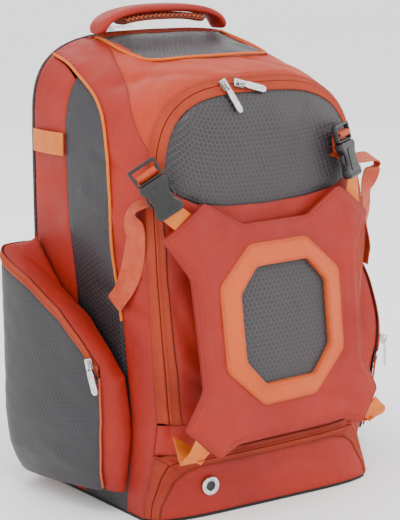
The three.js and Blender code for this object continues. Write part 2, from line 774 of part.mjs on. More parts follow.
// Edge of the door: across is a share of HALF, height a share of DOOR_HEIGHT.
const DOOR_EDGE = [
  { way: 0, across: 0.845, height: 0.062 },
  { way: 0.09, across: 0.83, height: 0.3 },
  { way: 0.18, across: 0.74, height: 0.75 },
  { way: 0.24, across: 0.65, height: 0.93 },
  { way: 0.3, across: 0.54, height: 1 },
  { way: 0.5, across: 0, height: 0.98 },
];
const doorInner = (t) => {
  const way = t <= 0.5 ? t : 1 - t;
  const x = read(DOOR_EDGE, "way", "across", way) * HALF * (t <= 0.5 ? -1 : 1);
  return { x, z: Math.max(read(DOOR_EDGE, "way", "height", way) * DOOR_HEIGHT, FLOOR_Z) };
};
const doorInnerPoint = (t) => frontPoint(doorInner(t).x, doorInner(t).z);
add("shoe_zip", zip(doorOuter, doorInnerPoint, 25, () => v3(0, -1, 0)), "tape");
const doorFoot = doorInner(0);
const DOOR_CORNER = 0.2;
const doorPatch = blend(
  (t) => ({ x: mix(doorFoot.x, -doorFoot.x, t), z: FLOOR_Z }),
  (t) => doorInner(mix(DOOR_CORNER, 1 - DOOR_CORNER, t)),
  (t) => doorInner(mix(0, DOOR_CORNER, t)),
  (t) => doorInner(mix(1, 1 - DOOR_CORNER, t)),
);
const EYELET = { across: -0.49 * HALF, height: 0.6 * DOOR_HEIGHT };
const eyeletSpot = frontPoint(EYELET.across, EYELET.height);
const hole = new THREE.CylinderGeometry(EYELET_OUTER / 2 - 2, EYELET_OUTER / 2 - 2, 60, 16);
hole.translate(eyeletSpot.x, eyeletSpot.y, eyeletSpot.z);
const door = toSolid(cloth(onFront(doorPatch), 14, 4)).subtract(toSolid(hole));
add("shoe_door", fromSolid(door), "cloth");
const EYELET_FLANGE = 1.4;
const eyeletProfile = [
  new THREE.Vector2(EYELET_HOLE / 2, -CLOTH - 1),
  new THREE.Vector2(EYELET_OUTER / 2 - 2 - GAP, -CLOTH - 1),
  new THREE.Vector2(EYELET_OUTER / 2 - 2 - GAP, EYELET_FLANGE),
  new THREE.Vector2(EYELET_OUTER / 2, EYELET_FLANGE),
  new THREE.Vector2(EYELET_OUTER / 2 - 1, EYELET_FLANGE + 1.2),
  new THREE.Vector2(EYELET_HOLE / 2 + 1, EYELET_FLANGE + 1.2),
  new THREE.Vector2(EYELET_HOLE / 2, EYELET_FLANGE),
  new THREE.Vector2(EYELET_HOLE / 2, -CLOTH - 1),
];
const eyeletSide = (dx, dz) => frontPoint(EYELET.across + dx, EYELET.height + dz);
const eyeletAcross = eyeletSide(5, 0).sub(eyeletSide(-5, 0));
const eyeletUp = eyeletSide(0, 5).sub(eyeletSide(0, -5));
const eyeletOut = eyeletAcross.cross(eyeletUp).normalize();
if (eyeletOut.y > 0) eyeletOut.negate();
const eyelet = new THREE.LatheGeometry(eyeletProfile, 12);
const eyeletMesh = add("eyelet", eyelet, "metal");
eyeletMesh.quaternion.setFromUnitVectors(v3(0, 1, 0), eyeletOut);
eyeletMesh.position.copy(eyeletSpot);

// Base panel: a flat plate over the footprint
const footprint = [];
for (let i = 0; i <= 10; i++) footprint.push(skin(floorSpot(i / 10).s, Math.min(i / 10, ZIP_EDGE)));
for (let i = 0; i <= 8; i++) footprint.push(frontPoint(mix(doorFoot.x, -doorFoot.x, i / 8), FLOOR_Z));
for (let i = 10; i >= 0; i--) footprint.push(skin(4 - floorSpot(i / 10).s, Math.min(i / 10, ZIP_EDGE)));
const baseShape = new THREE.Shape(footprint.map((p) => new THREE.Vector2(p.x, p.y)));
add("base_panel", new THREE.ExtrudeGeometry(baseShape, { depth: BASE_WALL, bevelEnabled: false }), "dark");

// Padded back panel behind the body
const backOutline = [];
for (let i = 0; i <= 24; i++) {
  const s = mix(0, 4, i / 24);
  const p = skin(s, 0);
  backOutline.push(new THREE.Vector2(p.x, Math.max(p.z, 0)));
}
const backShape = new THREE.Shape(backOutline);
const backGeometry = new THREE.ExtrudeGeometry(backShape, {
  depth: BACK_PAD - 4,
  bevelEnabled: true,
  bevelThickness: 2,
  bevelSize: 2,
  bevelOffset: -2,
  bevelSegments: 1,
});
backGeometry.rotateX(Math.PI / 2);
backGeometry.translate(0, BACK_Y + GAP + BACK_PAD - 2, 0);
add("back_panel", backGeometry, "dark");

// Piping: round cord raised on the seams
function piping(curve, rows) {
  const points = [];
  const outs = [];
  for (let i = 0; i <= rows; i++) {
    const spot = curve(i / rows);
    const out = skinNormal(spot.s, spot.u);
    points.push(skin(spot.s, spot.u).addScaledVector(out, PIPING_RADIUS + 2 * GAP));
    outs.push(out);
  }
  return sweep(points, outs, round(PIPING_RADIUS, 6));
}
const PIPING_ROWS = 22;
const PIPING_FOOT = 0.29;
const PIPING_INSET = 0.045;
for (const side of SIDES) {
  const curve = (t) => {
    const p = sideSeam(mix(PIPING_FOOT, 0.985, t));
    return side.sign < 0 ? p : { s: 4 - p.s, u: p.u };
  };
  add("piping_side_" + side.name, piping(curve, PIPING_ROWS), "bright");
}
add("piping_top", piping((t) => wholeBorder(mix(PIPING_INSET, 1 - PIPING_INSET, t)), 26), "bright");

// Side pockets, shaped on the left; the right one is turned over, and both follow the body's side.
const pocketY = (side, along) => BACK_Y - 2 - along * POCKET_LENGTH[side.name];
const pocketZ = (side, along, height) => height * POCKET_HEIGHT * (1 - POCKET_SAG[side.name] * along * along);
const POCKET_PLAN_WAYS = POCKET_PLAN.map((r, i) => ({ way: i / (POCKET_PLAN.length - 1), ...r }));
const planAt = (key, v) => read(POCKET_PLAN_WAYS, "way", key, v);
function bodySide(y, z) {
  const u = clamp((BACK_Y - y) / BODY_DEPTH, 0, ZIP_EDGE);
  return plainSkin(sAtHeight(u, clamp(z, 1, BODY_HEIGHT * 0.7)), u).x;
}
const turnOver = (p, side) => (side.sign > 0 ? v3(-p.x, p.y, p.z) : p);
function seated(p, side) {
  const body = turnOver(v3(bodySide(p.y, p.z), p.y, p.z), side);
  return turnOver(p, side).add(v3(sideways(body), 0, 0));
}
function pocketPoint(side, v, z) {
  const y = pocketY(side, planAt("along", v));
  const full = read(POCKET_FULLNESS, "height", "full", z / POCKET_HEIGHT);
  const out = POCKET_DEPTH[side.name] * planAt("out", v) * full;
  return v3(bodySide(y, z) - out - GAP, y, z);
}
// Outward direction of a pocket's wall, level with the floor
function pocketOut(side, v) {
  const h = 0.06;
  const z = POCKET_HEIGHT * 0.6;
  const d = pocketPoint(side, Math.min(v + h, 1), z).sub(pocketPoint(side, Math.max(v - h, 0), z));
  return v3(d.y, -d.x, 0).normalize();
}
const zipLineZ = (side, v) => {
  const along = planAt("along", v);
  return pocketZ(side, along, read(POCKET_ZIP_LINE, "along", "height", along));
};
const HALF_TAPE = SMALL_TAPE_WIDTH / 2;
const pocketFloor = (v) => mix(POCKET_FLOOR.rear, POCKET_FLOOR.front, clamp(planAt("along", v), 0, 1));
const pocketFace = (side, a, b) => pocketPoint(side, a, mix(pocketFloor(a), zipLineZ(side, a) - HALF_TAPE, b));
const FACE_FRONT_WAY = 0.55;
const pocketOuterEdge = (side, t) => {
  if (t <= FACE_FRONT_WAY) {
    const v = t / FACE_FRONT_WAY;
    return pocketPoint(side, v, zipLineZ(side, v) + HALF_TAPE);
  }
  const down = (t - FACE_FRONT_WAY) / (1 - FACE_FRONT_WAY);
  return pocketPoint(side, 1, mix(zipLineZ(side, 1) + HALF_TAPE, pocketFloor(1), down));
};
const attachWays = POCKET_ATTACH.map((r, i) => ({ way: i / (POCKET_ATTACH.length - 1), ...r }));
const pocketInnerEdge = (side, t) => {
  const along = read(attachWays, "way", "along", t);
  const y = pocketY(side, along);
  const z = pocketZ(side, along, read(attachWays, "way", "height", t));
  return v3(bodySide(y, z) - CLOTH - POCKET_SEAM_GAP, y, z);
};
const POCKET_PUFF = 5;
for (const side of SIDES) {
  const middle = v3(side.sign * HALF, 0, POCKET_HEIGHT / 2);
  const faceAt = (a, b) => seated(pocketFace(side, a, b), side);
  add("pocket_face_" + side.name, cloth(faceAt, 12, 6, { middle }), "charcoal");
  const gussetAt = (a, b) => {
    const way = Math.min(a / FACE_FRONT_WAY, 1);
    const outer = pocketOuterEdge(side, a).addScaledVector(pocketOut(side, way), -CLOTH - 4 * GAP);
    const p = outer.lerp(pocketInnerEdge(side, a), b);
    const puff = POCKET_PUFF * Math.sin(Math.PI * b);
    p.z += a <= FACE_FRONT_WAY ? puff : 0;
    p.y -= a > FACE_FRONT_WAY ? puff : 0;
    return seated(p, side);
  };
  add("pocket_gusset_" + side.name, cloth(gussetAt, 16, 3, { middle }), "cloth");
  const zipTop = (t) => seated(pocketPoint(side, t, zipLineZ(side, t) + HALF_TAPE), side);
  const zipLow = (t) => seated(pocketPoint(side, t, zipLineZ(side, t) - HALF_TAPE), side);
  add("pocket_zip_" + side.name, zip(zipTop, zipLow, 12, () => v3(side.sign, 0, 0)), "tape");
}

// Helmet flap: a stiff padded cross with a raised ring and a window of charcoal cloth
const flapX = (across) => (across * FLAP_WIDTH) / 2;
const flapZ = (height) => mix(FLAP_FOOT, FLAP_TOP, height);
const FLAP_MIDDLE = 0.48;
function flapY(x, z) {
  const curl = FLAP_CURL * Math.pow(clamp((Math.abs(x) - 0.72 * flapX(1)) / (0.28 * flapX(1)), 0, 1), 1.5);
  return FLAP_FRONT_Y + (z - FLAP_FOOT) * FLAP_LEAN + curl;
}
const wholeOutline = (half) => [
  ...half.map((r) => ({ x: flapX(r.across), z: flapZ(r.height) })),
  ...half.map((r) => ({ x: -flapX(r.across), z: flapZ(r.height) })).reverse(),
];
const onOutline = (outline, share, lift) =>
  outline.map((p) => {
    const x = p.x * share;
    const z = mix(flapZ(FLAP_MIDDLE), p.z, share);
    return v3(x, flapY(x, z) - lift, z);
  });
// Plate over an outline, with rings of points at the given shares of the way out
function plate(outline, shares, wall, lift) {
  const n = outline.length;
  const points = [];
  const faces = [];
  for (const back of [0, 1]) {
    const depth = lift - back * wall;
    const start = points.length;
    points.push(v3(0, flapY(0, flapZ(FLAP_MIDDLE)) - depth, flapZ(FLAP_MIDDLE)));
    for (const share of shares) points.push(...onOutline(outline, share, depth));
    for (let j = 0; j < n; j++) {
      const k = (j + 1) % n;
      const first = [start, start + 1 + j, start + 1 + k];
      faces.push(back ? first.reverse() : first);
      for (let i = 0; i < shares.length - 1; i++) {
        const a = start + 1 + i * n;
        const b = a + n;
        const pair = [
          [a + j, b + j, b + k],
          [a + j, b + k, a + k],
        ];
        for (const f of pair) faces.push(back ? f.reverse() : f);
      }
    }
  }
  const size = 1 + shares.length * n;
  const rim = 1 + (shares.length - 1) * n;
  for (let j = 0; j < n; j++) {
    const k = (j + 1) % n;
    faces.push([rim + j, size + rim + j, size + rim + k], [rim + j, size + rim + k, rim + k]);
  }
  return fromFaces(points, faces);
}
const flapOutline = wholeOutline(FLAP_OUTLINE);
const ringOutline = wholeOutline(RING_OUTLINE);
const windowOutline = wholeOutline(WINDOW_OUTLINE);
add("flap_cover", plate(flapOutline, [0.3, 0.6, 0.8, 0.9, 1], FLAP_WALL, 0), "cloth");
function ringSolid(outer, inner, wall, lift) {
  const loops = [
    onOutline(outer, 1, lift + wall),
    onOutline(inner, 1, lift + wall),
    onOutline(inner, 1, lift),
    onOutline(outer, 1, lift),
  ];
  const n = outer.length;
  const faces = [];
  for (let i = 0; i < 4; i++) {
    const a = i * n;
    const b = ((i + 1) % 4) * n;
    for (let j = 0; j < n; j++) {
      const k = (j + 1) % n;
      faces.push([a + j, b + j, b + k], [a + j, b + k, a + k]);
    }
  }
  return fromFaces(loops.flat(), faces);
}
const windowHole = windowOutline.map((p) => ({ x: p.x * 1.012, z: mix(flapZ(FLAP_MIDDLE), p.z, 1.012) }));
add("flap_ring", ringSolid(ringOutline, windowHole, RING_WALL, GAP), "ring");
add("flap_window", plate(windowOutline, [1], WINDOW_WALL, WINDOW_WALL + GAP), "charcoal");

// Buckles, webbing and straps that hold the flap
const LOOP_HEIGHT = 0.775;
const LOOP_LIFT = 2.2;
// Places of the buckles: shares of HALF and BODY_HEIGHT, and the reach in front of FRONT_Y.
const BUCKLES = {
  left: {
    foot: { across: -0.81, reach: 26, height: 0.667 },
    head: { across: -0.935, reach: 0, height: 0.762 },
    facing: v3(-0.5, -0.86, 0),
  },
  right: {
    foot: { across: 0.68, reach: 31, height: 0.699 },
    head: { across: 0.627, reach: 22, height: 0.787 },
    facing: v3(0.4, -0.92, 0),
  },
};
const bucklePlace = (r) => v3(r.across * HALF, FRONT_Y - r.reach, r.height * BODY_HEIGHT);
const STRAP_WIDTH = 22;
const WEB_FOLD = 18;
const LOWER_SEAT = 0.68;
// Free tail of each strap on the side: shares of BODY_DEPTH and BODY_HEIGHT, and the lift off the cloth.
const STRAP_TAILS = {
  left: [
    { depth: 0.93, height: 0.67, lift: 8 },
    { depth: 0.92, height: 0.61, lift: 4 },
    { depth: 0.89, height: 0.55, lift: 4 },
    { depth: 0.83, height: 0.5, lift: 4 },
    { depth: 0.75, height: 0.46, lift: 5 },
  ],
  right: [
    { depth: 0.95, height: 0.7, lift: 26 },
    { depth: 0.93, height: 0.64, lift: 11 },
    { depth: 0.92, height: 0.58, lift: 7 },
    { depth: 0.91, height: 0.53, lift: 6 },
    { depth: 0.9, height: 0.475, lift: 6 },
  ],
};
for (const side of SIDES) {
  const buckle = BUCKLES[side.name];
  const foot = bucklePlace(buckle.foot);
  const along = bucklePlace(buckle.head).sub(foot).normalize();
  const out = buckle.facing.clone().addScaledVector(along, -buckle.facing.dot(along)).normalize();
  const wide = along.clone().cross(out).normalize();
  const frame = new THREE.Matrix4().makeBasis(wide, along, out).setPosition(foot);
  const at = (x, y, z) => v3(x, y, z).applyMatrix4(frame);
  const w = BUCKLE_WIDTH / 2;
  const neck = BUCKLE_LENGTH * 0.66;
  const socketShape = new THREE.Shape([
    new THREE.Vector2(-w * 0.86, 0),
    new THREE.Vector2(w * 0.86, 0),
    new THREE.Vector2(w, neck * 0.22),
    new THREE.Vector2(w * 0.72, neck * 0.3),
    new THREE.Vector2(w * 0.72, neck * 0.72),
    new THREE.Vector2(w, neck * 0.82),
    new THREE.Vector2(w * 0.94, neck),
    new THREE.Vector2(-w * 0.94, neck),
    new THREE.Vector2(-w, neck * 0.82),
    new THREE.Vector2(-w * 0.72, neck * 0.72),
    new THREE.Vector2(-w * 0.72, neck * 0.3),
    new THREE.Vector2(-w, neck * 0.22),
  ]);
  const socket = new THREE.ExtrudeGeometry(socketShape, { depth: BUCKLE_WALL, bevelEnabled: false });
  socket.translate(0, 0, -BUCKLE_WALL / 2);
  socket.applyMatrix4(frame);
  add("buckle_socket_" + side.name, socket, "plastic");
  const frameShape = new THREE.Shape([
    new THREE.Vector2(-w * 0.94, neck + GAP),
    new THREE.Vector2(w * 0.94, neck + GAP),
    new THREE.Vector2(w, BUCKLE_LENGTH),
    new THREE.Vector2(-w, BUCKLE_LENGTH),
  ]);
  const slot = new THREE.Path([
    new THREE.Vector2(-w * 0.8, neck + 2.5),
    new THREE.Vector2(-w * 0.8, BUCKLE_LENGTH - 4),
    new THREE.Vector2(w * 0.8, BUCKLE_LENGTH - 4),
    new THREE.Vector2(w * 0.8, neck + 2.5),
  ]);
  frameShape.holes.push(slot);
  const plug = new THREE.ExtrudeGeometry(frameShape, { depth: BUCKLE_WALL * 0.6, bevelEnabled: false });
  plug.translate(0, 0, -BUCKLE_WALL * 0.3);
  plug.applyMatrix4(frame);
  add("buckle_plug_" + side.name, plug, "plastic");

  // Strap: a fold in the ladder slot, down behind the buckle and on down the side as a free tail
  const slotY = neck + 5;
  const onSide = (row) => {
    const spot = { s: sAtHeight(row.depth, row.height * BODY_HEIGHT), u: row.depth };
    const here = side.sign < 0 ? spot.s : 4 - spot.s;
    const n = skinNormal(here, spot.u);
    return { point: skin(here, spot.u).addScaledVector(n, row.lift), out: n };
  };
  const tail = STRAP_TAILS[side.name].map(onSide);
  const strapPath = [
    at(0, slotY + 6, -1),
    at(0, slotY + 2, -BUCKLE_WALL * 0.5 - 1.4),
    at(0, neck - 2, -BUCKLE_WALL * 0.5 - 3.4),
    at(0, neck * 0.55, -BUCKLE_WALL * 0.5 - 3.6),
    ...tail.map((r) => r.point),
  ];
  const strapOuts = [out, out, out, out, ...tail.map((r) => r.out)];
  add("strap_" + side.name, sweep(strapPath, strapOuts, flat(STRAP_WIDTH, WEBBING_WALL)), "strap");

  // Bright webbing from the end of the flap's upper arm into the buckle
  const armEnd = (first, second, reachOut, slide = 0) => {
    const a = flapOutline[first];
    const b = flapOutline[second];
    const x = (a.x + b.x) / 2;
    const z = (a.z + b.z) / 2;
    const edge = v3(b.x - a.x, 0, b.z - a.z).normalize();
    const normal = v3(edge.z, 0, -edge.x);
    if (normal.x < 0) normal.negate();
    const p = v3(x, flapY(x, z) + FLAP_WALL * 0.7, z);
    p.addScaledVector(normal, reachOut).addScaledVector(edge, slide);
    return v3(p.x * side.sign, p.y, p.z);
  };
  const topWeb = (a, b) => {
    const slide = (b - 0.5) * WEBBING;
    return armEnd(1, 2, 1, slide).lerp(at(side.sign * slide, -1.5, 0), a);
  };
  add("top_web_" + side.name, cloth(topWeb, 3, 2, { wall: WEBBING_WALL }), "bright");

  // Folded webbing from the lower arm back to the bag
  const fold = armEnd(6, 7, WEB_FOLD);
  const seat = frontPoint(side.sign * LOWER_SEAT * HALF, (BAND_FOOT + SEAM_HEIGHT) / 2);
  seat.y -= 6;
  const lowBend = fold.clone().lerp(seat, 0.14).add(v3(0, 0, -3));
  const lowPath = [armEnd(6, 7, 1), fold, lowBend, lowBend.clone().lerp(seat, 0.5), seat];
  const lowOut = v3(side.sign * 0.6, -0.3, -0.8);
  const lowOuts = [v3(0, -1, 0), v3(side.sign * 0.15, -0.9, -0.4), lowOut, lowOut, lowOut];
  add("bottom_web_" + side.name, sweep(lowPath, lowOuts, flat(WEBBING, WEBBING_WALL)), "bright");

  // Bat loop: a band of webbing across the rear strip, sewn at both ends
  const loopPoints = [];
  const loopOuts = [];
  for (let i = 0; i <= 8; i++) {
    const t = i / 8;
    const u = mix(0.01, 0.3, t);
    const s = sAtHeight(u, LOOP_HEIGHT * BODY_HEIGHT);
    const here = side.sign < 0 ? s : 4 - s;
    const n = skinNormal(here, u);
    loopPoints.push(skin(here, u).addScaledVector(n, 1 + LOOP_LIFT * Math.sin(Math.PI * t)));
    loopOuts.push(n);
  }
  add("bat_loop_" + side.name, sweep(loopPoints, loopOuts, flat(WEBBING, WEBBING_WALL)), "bright");
}

// Handle: an upper strip of cloth over a softer pad
const handleRise = (x) => Math.pow(Math.max(1 - Math.pow(Math.abs(x) / (HANDLE_SPAN / 2), 2.4), 0), 1 / 2.4);
const HANDLE_FOOT = BODY_HEIGHT - 3.5;
function handleSweep(centreTop, footLift, section, rows) {
  const points = [];
  const outs = [];
  for (let i = 0; i <= rows; i++) {
    const turn = mix(Math.PI, 0, i / rows);
    const x = (HANDLE_SPAN / 2) * Math.sign(Math.cos(turn)) * Math.pow(Math.abs(Math.cos(turn)), 0.8);
    points.push(v3(HANDLE_X + x, HANDLE_Y, mix(HANDLE_FOOT + footLift, centreTop, handleRise(x))));
    outs.push(v3((x / HANDLE_SPAN) * 1.2, 0, 1).normalize());
  }
  return sweep(points, outs, section);
}
const pillow = (width, wall) => [
  { across: -width / 2, out: wall * 0.25 },
  { across: -width * 0.36, out: 0 },
  { across: width * 0.36, out: 0 },
  { across: width / 2, out: wall * 0.25 },
  { across: width / 2, out: wall * 0.7 },
  { across: width * 0.32, out: wall },
  { across: -width * 0.32, out: wall },
  { across: -width / 2, out: wall * 0.7 },
];
const gripFoot = HANDLE_TOP - HANDLE_WALL;
add("handle_grip", handleSweep(gripFoot, 3, pillow(HANDLE_WIDTH, HANDLE_WALL), 14), "cloth");
const padSection = pillow(HANDLE_WIDTH * 0.86, HANDLE_WALL * 0.86).map((r) => ({
  across: r.across,
  out: r.out - HANDLE_WALL * 0.86 - GAP,
}));
const PAD_SHARE = 0.7;
const padPoints = [];
const padOuts = [];
for (let i = 0; i <= 12; i++) {
  const x = mix(-PAD_SHARE, PAD_SHARE, i / 12) * (HANDLE_SPAN / 2);
  padPoints.push(v3(HANDLE_X + x, HANDLE_Y, mix(HANDLE_FOOT + 3, gripFoot, handleRise(x))));
  padOuts.push(v3((x / HANDLE_SPAN) * 1.2, 0, 1).normalize());
}
add("handle_pad", sweep(padPoints, padOuts, padSection), "strap");

// Shoulder straps and the webbing below them
// across is a share of HALF, off a share of STRAP_ARCH, height a share of BODY_HEIGHT.
const STRAP_ARCH = 42;
const STRAP_ROUTE = [
  { across: 0.3, off: 0, height: 0.926 },
  { across: 0.366, off: 0.52, height: 0.826 },
  { across: 0.444, off: 0.86, height: 0.682 },
  { across: 0.536, off: 1, height: 0.527 },
  { across: 0.627, off: 0.95, height: 0.393 },
];
const WEB_ROUTE = [
  { across: 0.634, off: 1, height: 0.384 },
  { across: 0.732, off: 1.476, height: 0.31 },
  { across: 0.837, off: 1.81, height: 0.217 },
  { across: 0.902, off: 1.667, height: 0.128 },
  { across: 0.928, off: 0.952, height: 0.066 },
  { across: 0.928, off: 0.095, height: 0.045 },
];
const behind = BACK_Y + BACK_PAD + 2 * GAP;
function routePoints(route, sign, rows, lift) {
  const stations = route.map((p) =>
    v3(p.across * HALF * sign, behind + lift + p.off * STRAP_ARCH, p.height * BODY_HEIGHT),
  );
  const line = new THREE.CatmullRomCurve3(stations, false, "centripetal");
  return Array.from({ length: rows + 1 }, (_, i) => line.getPointAt(i / rows));
}
for (const side of SIDES) {
  const points = routePoints(STRAP_ROUTE, side.sign, 14, SHOULDER_PAD * 0.1);
  const outs = points.map(() => v3(0, 1, 0.25).normalize());
  add("shoulder_strap_" + side.name, sweep(points, outs, pillow(SHOULDER_WIDTH, SHOULDER_PAD)), "cloth");
  const web = routePoints(WEB_ROUTE, side.sign, 14, 2);
  const webOuts = web.map(() => v3(side.sign * 0.5, 0.9, 0.1).normalize());
  add("strap_web_" + side.name, sweep(web, webOuts, flat(WEBBING, WEBBING_WALL)), "strap");
}

// Zip sliders with their pull tabs. The local frame: X across the zip, Y along it, Z out of the bag.
function sliderGeometry() {
  const { width, length, height, lift } = SLIDER;
  const body = new THREE.BoxGeometry(width, length, height);
  body.translate(0, 0, lift + height / 2);
  const top = lift + height;
  const BRIDGE_WIDTH = 2.4;
  const clear = PULL.wall + 2 * PULL_CLEARANCE;
  const side = new THREE.Shape([
    new THREE.Vector2(-4.2, top - 0.5),
    new THREE.Vector2(-4.2, top + clear + 1.4),
    new THREE.Vector2(4.2, top + clear + 1.4),
    new THREE.Vector2(4.2, top - 0.5),
    new THREE.Vector2(3.1, top - 0.5),
    new THREE.Vector2(3.1, top + clear),
    new THREE.Vector2(-3.1, top + clear),
    new THREE.Vector2(-3.1, top - 0.5),
  ]);
  const bridge = new THREE.ExtrudeGeometry(side, { depth: BRIDGE_WIDTH, bevelEnabled: false });
  bridge.translate(0, 0, -BRIDGE_WIDTH / 2);
  bridge.rotateX(Math.PI / 2);
  bridge.rotateZ(Math.PI / 2);
  return fromSolid(toSolid(body).add(toSolid(bridge)));
}
const PULL_AXIS = SLIDER.lift + SLIDER.height + PULL_CLEARANCE + PULL.wall / 2;
function pullGeometry() {
  const w = PULL.width / 2;
  const shape = new THREE.Shape([
    new THREE.Vector2(-w * 0.85, PULL.wall / 2),
    new THREE.Vector2(-w * 0.85, -PULL.eye - 1),
    new THREE.Vector2(-w, -PULL.eye - 4),
    new THREE.Vector2(-w, -PULL.length + 3),
    new THREE.Vector2(-w * 0.5, -PULL.length),
    new THREE.Vector2(w * 0.5, -PULL.length),
    new THREE.Vector2(w, -PULL.length + 3),
    new THREE.Vector2(w, -PULL.eye - 4),
    new THREE.Vector2(w * 0.85, -PULL.eye - 1),
    new THREE.Vector2(w * 0.85, PULL.wall / 2),
  ]);
  shape.holes.push(
    new THREE.Path([
      new THREE.Vector2(-w * 0.85 + 1.1, -PULL.wall / 2),
      new THREE.Vector2(w * 0.85 - 1.1, -PULL.wall / 2),
      new THREE.Vector2(w * 0.85 - 1.1, -PULL.eye),
      new THREE.Vector2(-w * 0.85 + 1.1, -PULL.eye),
    ]),
  );
  const g = new THREE.ExtrudeGeometry(shape, { depth: PULL.wall, bevelEnabled: false });
  g.translate(0, 0, -PULL.wall / 2);
  return g;
}
function placeZipPull(name, spot, out, down) {
  const z = out.clone().normalize();
  const y = down.clone().negate().addScaledVector(z, down.dot(z)).normalize();
  const x = y.clone().cross(z);
  const group = new THREE.Group();
  group.matrixAutoUpdate = false;
  group.matrix.makeBasis(x, y, z).setPosition(spot);
  bag.add(group);
  const slider = new THREE.Mesh(sliderGeometry(), new THREE.MeshStandardMaterial(FINISH.metal));
  slider.name = name + "_slider";
  const pull = new THREE.Mesh(pullGeometry(), new THREE.MeshStandardMaterial(FINISH.metal));
  pull.name = name + "_pull";
  pull.position.set(0, 0, PULL_AXIS);
  group.add(slider, pull);
}
const COIL_CLEAR = COIL_HEIGHT + GAP;
const FRONT_SLIDERS = [
  { name: "front_a", s: 1.899, hang: v3(0.35, 0, -0.93) },
  { name: "front_b", s: 1.96, hang: v3(1, 0, -0.33) },
];
for (const f of FRONT_SLIDERS) {
  const mid = zipOuterPoint(f.s).lerp(zipInnerPoint(f.s), 0.5);
  const out = v3(0, -0.93, 0.36).normalize();
  placeZipPull(f.name, mid.addScaledVector(out, COIL_CLEAR), out, f.hang);
}
const POCKET_SLIDER_WAY = 0.93;
for (const side of SIDES) {
  const out = turnOver(pocketOut(side, POCKET_SLIDER_WAY), side);
  const spot = seated(pocketPoint(side, POCKET_SLIDER_WAY, zipLineZ(side, POCKET_SLIDER_WAY)), side);
  placeZipPull("pocket_" + side.name, spot.addScaledVector(out, COIL_CLEAR + 0.4), out, v3(0, -0.3, -1));
}
const topSpotPoint = topZipEdge(mix(TOP_ZIP.rear, TOP_ZIP.front, 0.5))(0.2);
placeZipPull("top", topSpotPoint.add(v3(0, 0, COIL_CLEAR + 1)), v3(0, 0, 1), v3(1, 0.1, 0));

export default bag;
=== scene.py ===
# %% [markdown]
# A soft sports backpack: sewn cloth panels on one swelling body, two zipped side pockets, a helmet flap
# held by buckled straps, a shoe compartment with an eyelet and a carrying handle.
# Lengths are in millimetres until a mesh is made, and a mesh is in metres.

# %% Setup
import math

import bpy
import numpy as np
from mathutils import Matrix, Vector


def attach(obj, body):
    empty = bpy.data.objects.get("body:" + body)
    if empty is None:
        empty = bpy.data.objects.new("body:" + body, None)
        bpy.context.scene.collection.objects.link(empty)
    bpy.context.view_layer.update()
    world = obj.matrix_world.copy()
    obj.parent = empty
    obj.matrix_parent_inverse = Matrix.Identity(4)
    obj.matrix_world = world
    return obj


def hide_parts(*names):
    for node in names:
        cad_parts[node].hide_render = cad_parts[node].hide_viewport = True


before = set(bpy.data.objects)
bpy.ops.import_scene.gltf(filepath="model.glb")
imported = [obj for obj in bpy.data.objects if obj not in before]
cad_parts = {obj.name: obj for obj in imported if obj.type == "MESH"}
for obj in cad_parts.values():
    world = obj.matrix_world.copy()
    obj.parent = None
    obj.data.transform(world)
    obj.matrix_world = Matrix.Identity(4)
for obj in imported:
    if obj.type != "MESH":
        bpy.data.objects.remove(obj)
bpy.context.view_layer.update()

MM = 0.001
HEIGHT, HALF, DEPTH, BACK_Y = 484.0, 153.0, 187.0, 88.0
FRONT_Y = BACK_Y - DEPTH
CLOTH = 1.4
TAPE_WIDTH = 18.0
FLOOR_Z = 3.4
SEAM_HEIGHT = 100.0
BAND_FOOT = 69.0
DOOR_HEIGHT = 55.0
WEBBING = 24.0

# %% [markdown]
# The body is one smooth skin. Three contours seen from the front, at the back, at the rounded corner and at
# the arched zip, are joined from back to front. A panel is a patch of this skin between seam curves, as a
# pattern cutter draws it, so neighbours share their seams.

# %% The skin of the body
CONTOURS = {
    "back": {"half": 1.0, "top": 1.0, "spring": 0.785, "power": 3.5, "depth": 0.0},
    "corner": {"half": 0.922, "top": 0.938, "spring": 0.682, "power": 2.7, "depth": 0.989},
    "zip": {"half": 0.85, "top": 0.914, "spring": 0.661, "power": 3.2, "depth": 1.0},
}
CORNER_POWER = 2.6
WAIST = np.array([
    (0, 1.08), (0.04, 1.06), (0.093, 0.98), (0.143, 0.9), (0.207, 0.84), (0.438, 0.93), (0.605, 0.985), (0.661, 1),
])
DENTS = [
    {"s": 1.52, "s_spread": 0.12, "u": 0.6, "u_spread": 0.16, "push": -4},
    {"s": 1.78, "s_spread": 0.16, "u": 0.86, "u_spread": 0.12, "push": 2.5},
    {"s": 1.1, "s_spread": 0.14, "u": 0.88, "u_spread": 0.1, "push": -3},
    {"s": 0.82, "s_spread": 0.12, "u": 0.5, "u_spread": 0.3, "push": 3},
]


def lerp(a, b, t):
    return a + (b - a) * t


def unit(v):
    return v / np.maximum(np.linalg.norm(v, axis=-1, keepdims=True), 1e-9)


def contour(name, s):
    c = CONTOURS[name]
    s = np.asarray(s, float)
    spring, top, half = c["spring"] * HEIGHT, c["top"] * HEIGHT, c["half"] * HALF
    low_z = s * spring
    waist = np.interp(low_z / HEIGHT, WAIST[:, 0], WAIST[:, 1]) if name == "zip" else 1.0
    turn = (np.clip(s, 1, 2) - 1) * math.pi / 2
    across = np.maximum(np.cos(turn), 0) ** (2 / c["power"])
    rise = np.maximum(np.sin(turn), 0) ** (2 / c["power"])
    x = np.where(s <= 1, -half * waist, -half * across)
    z = np.where(s <= 1, low_z, spring + (top - spring) * rise)
    return np.stack([x, np.full_like(x, BACK_Y - c["depth"] * DEPTH), z], -1)


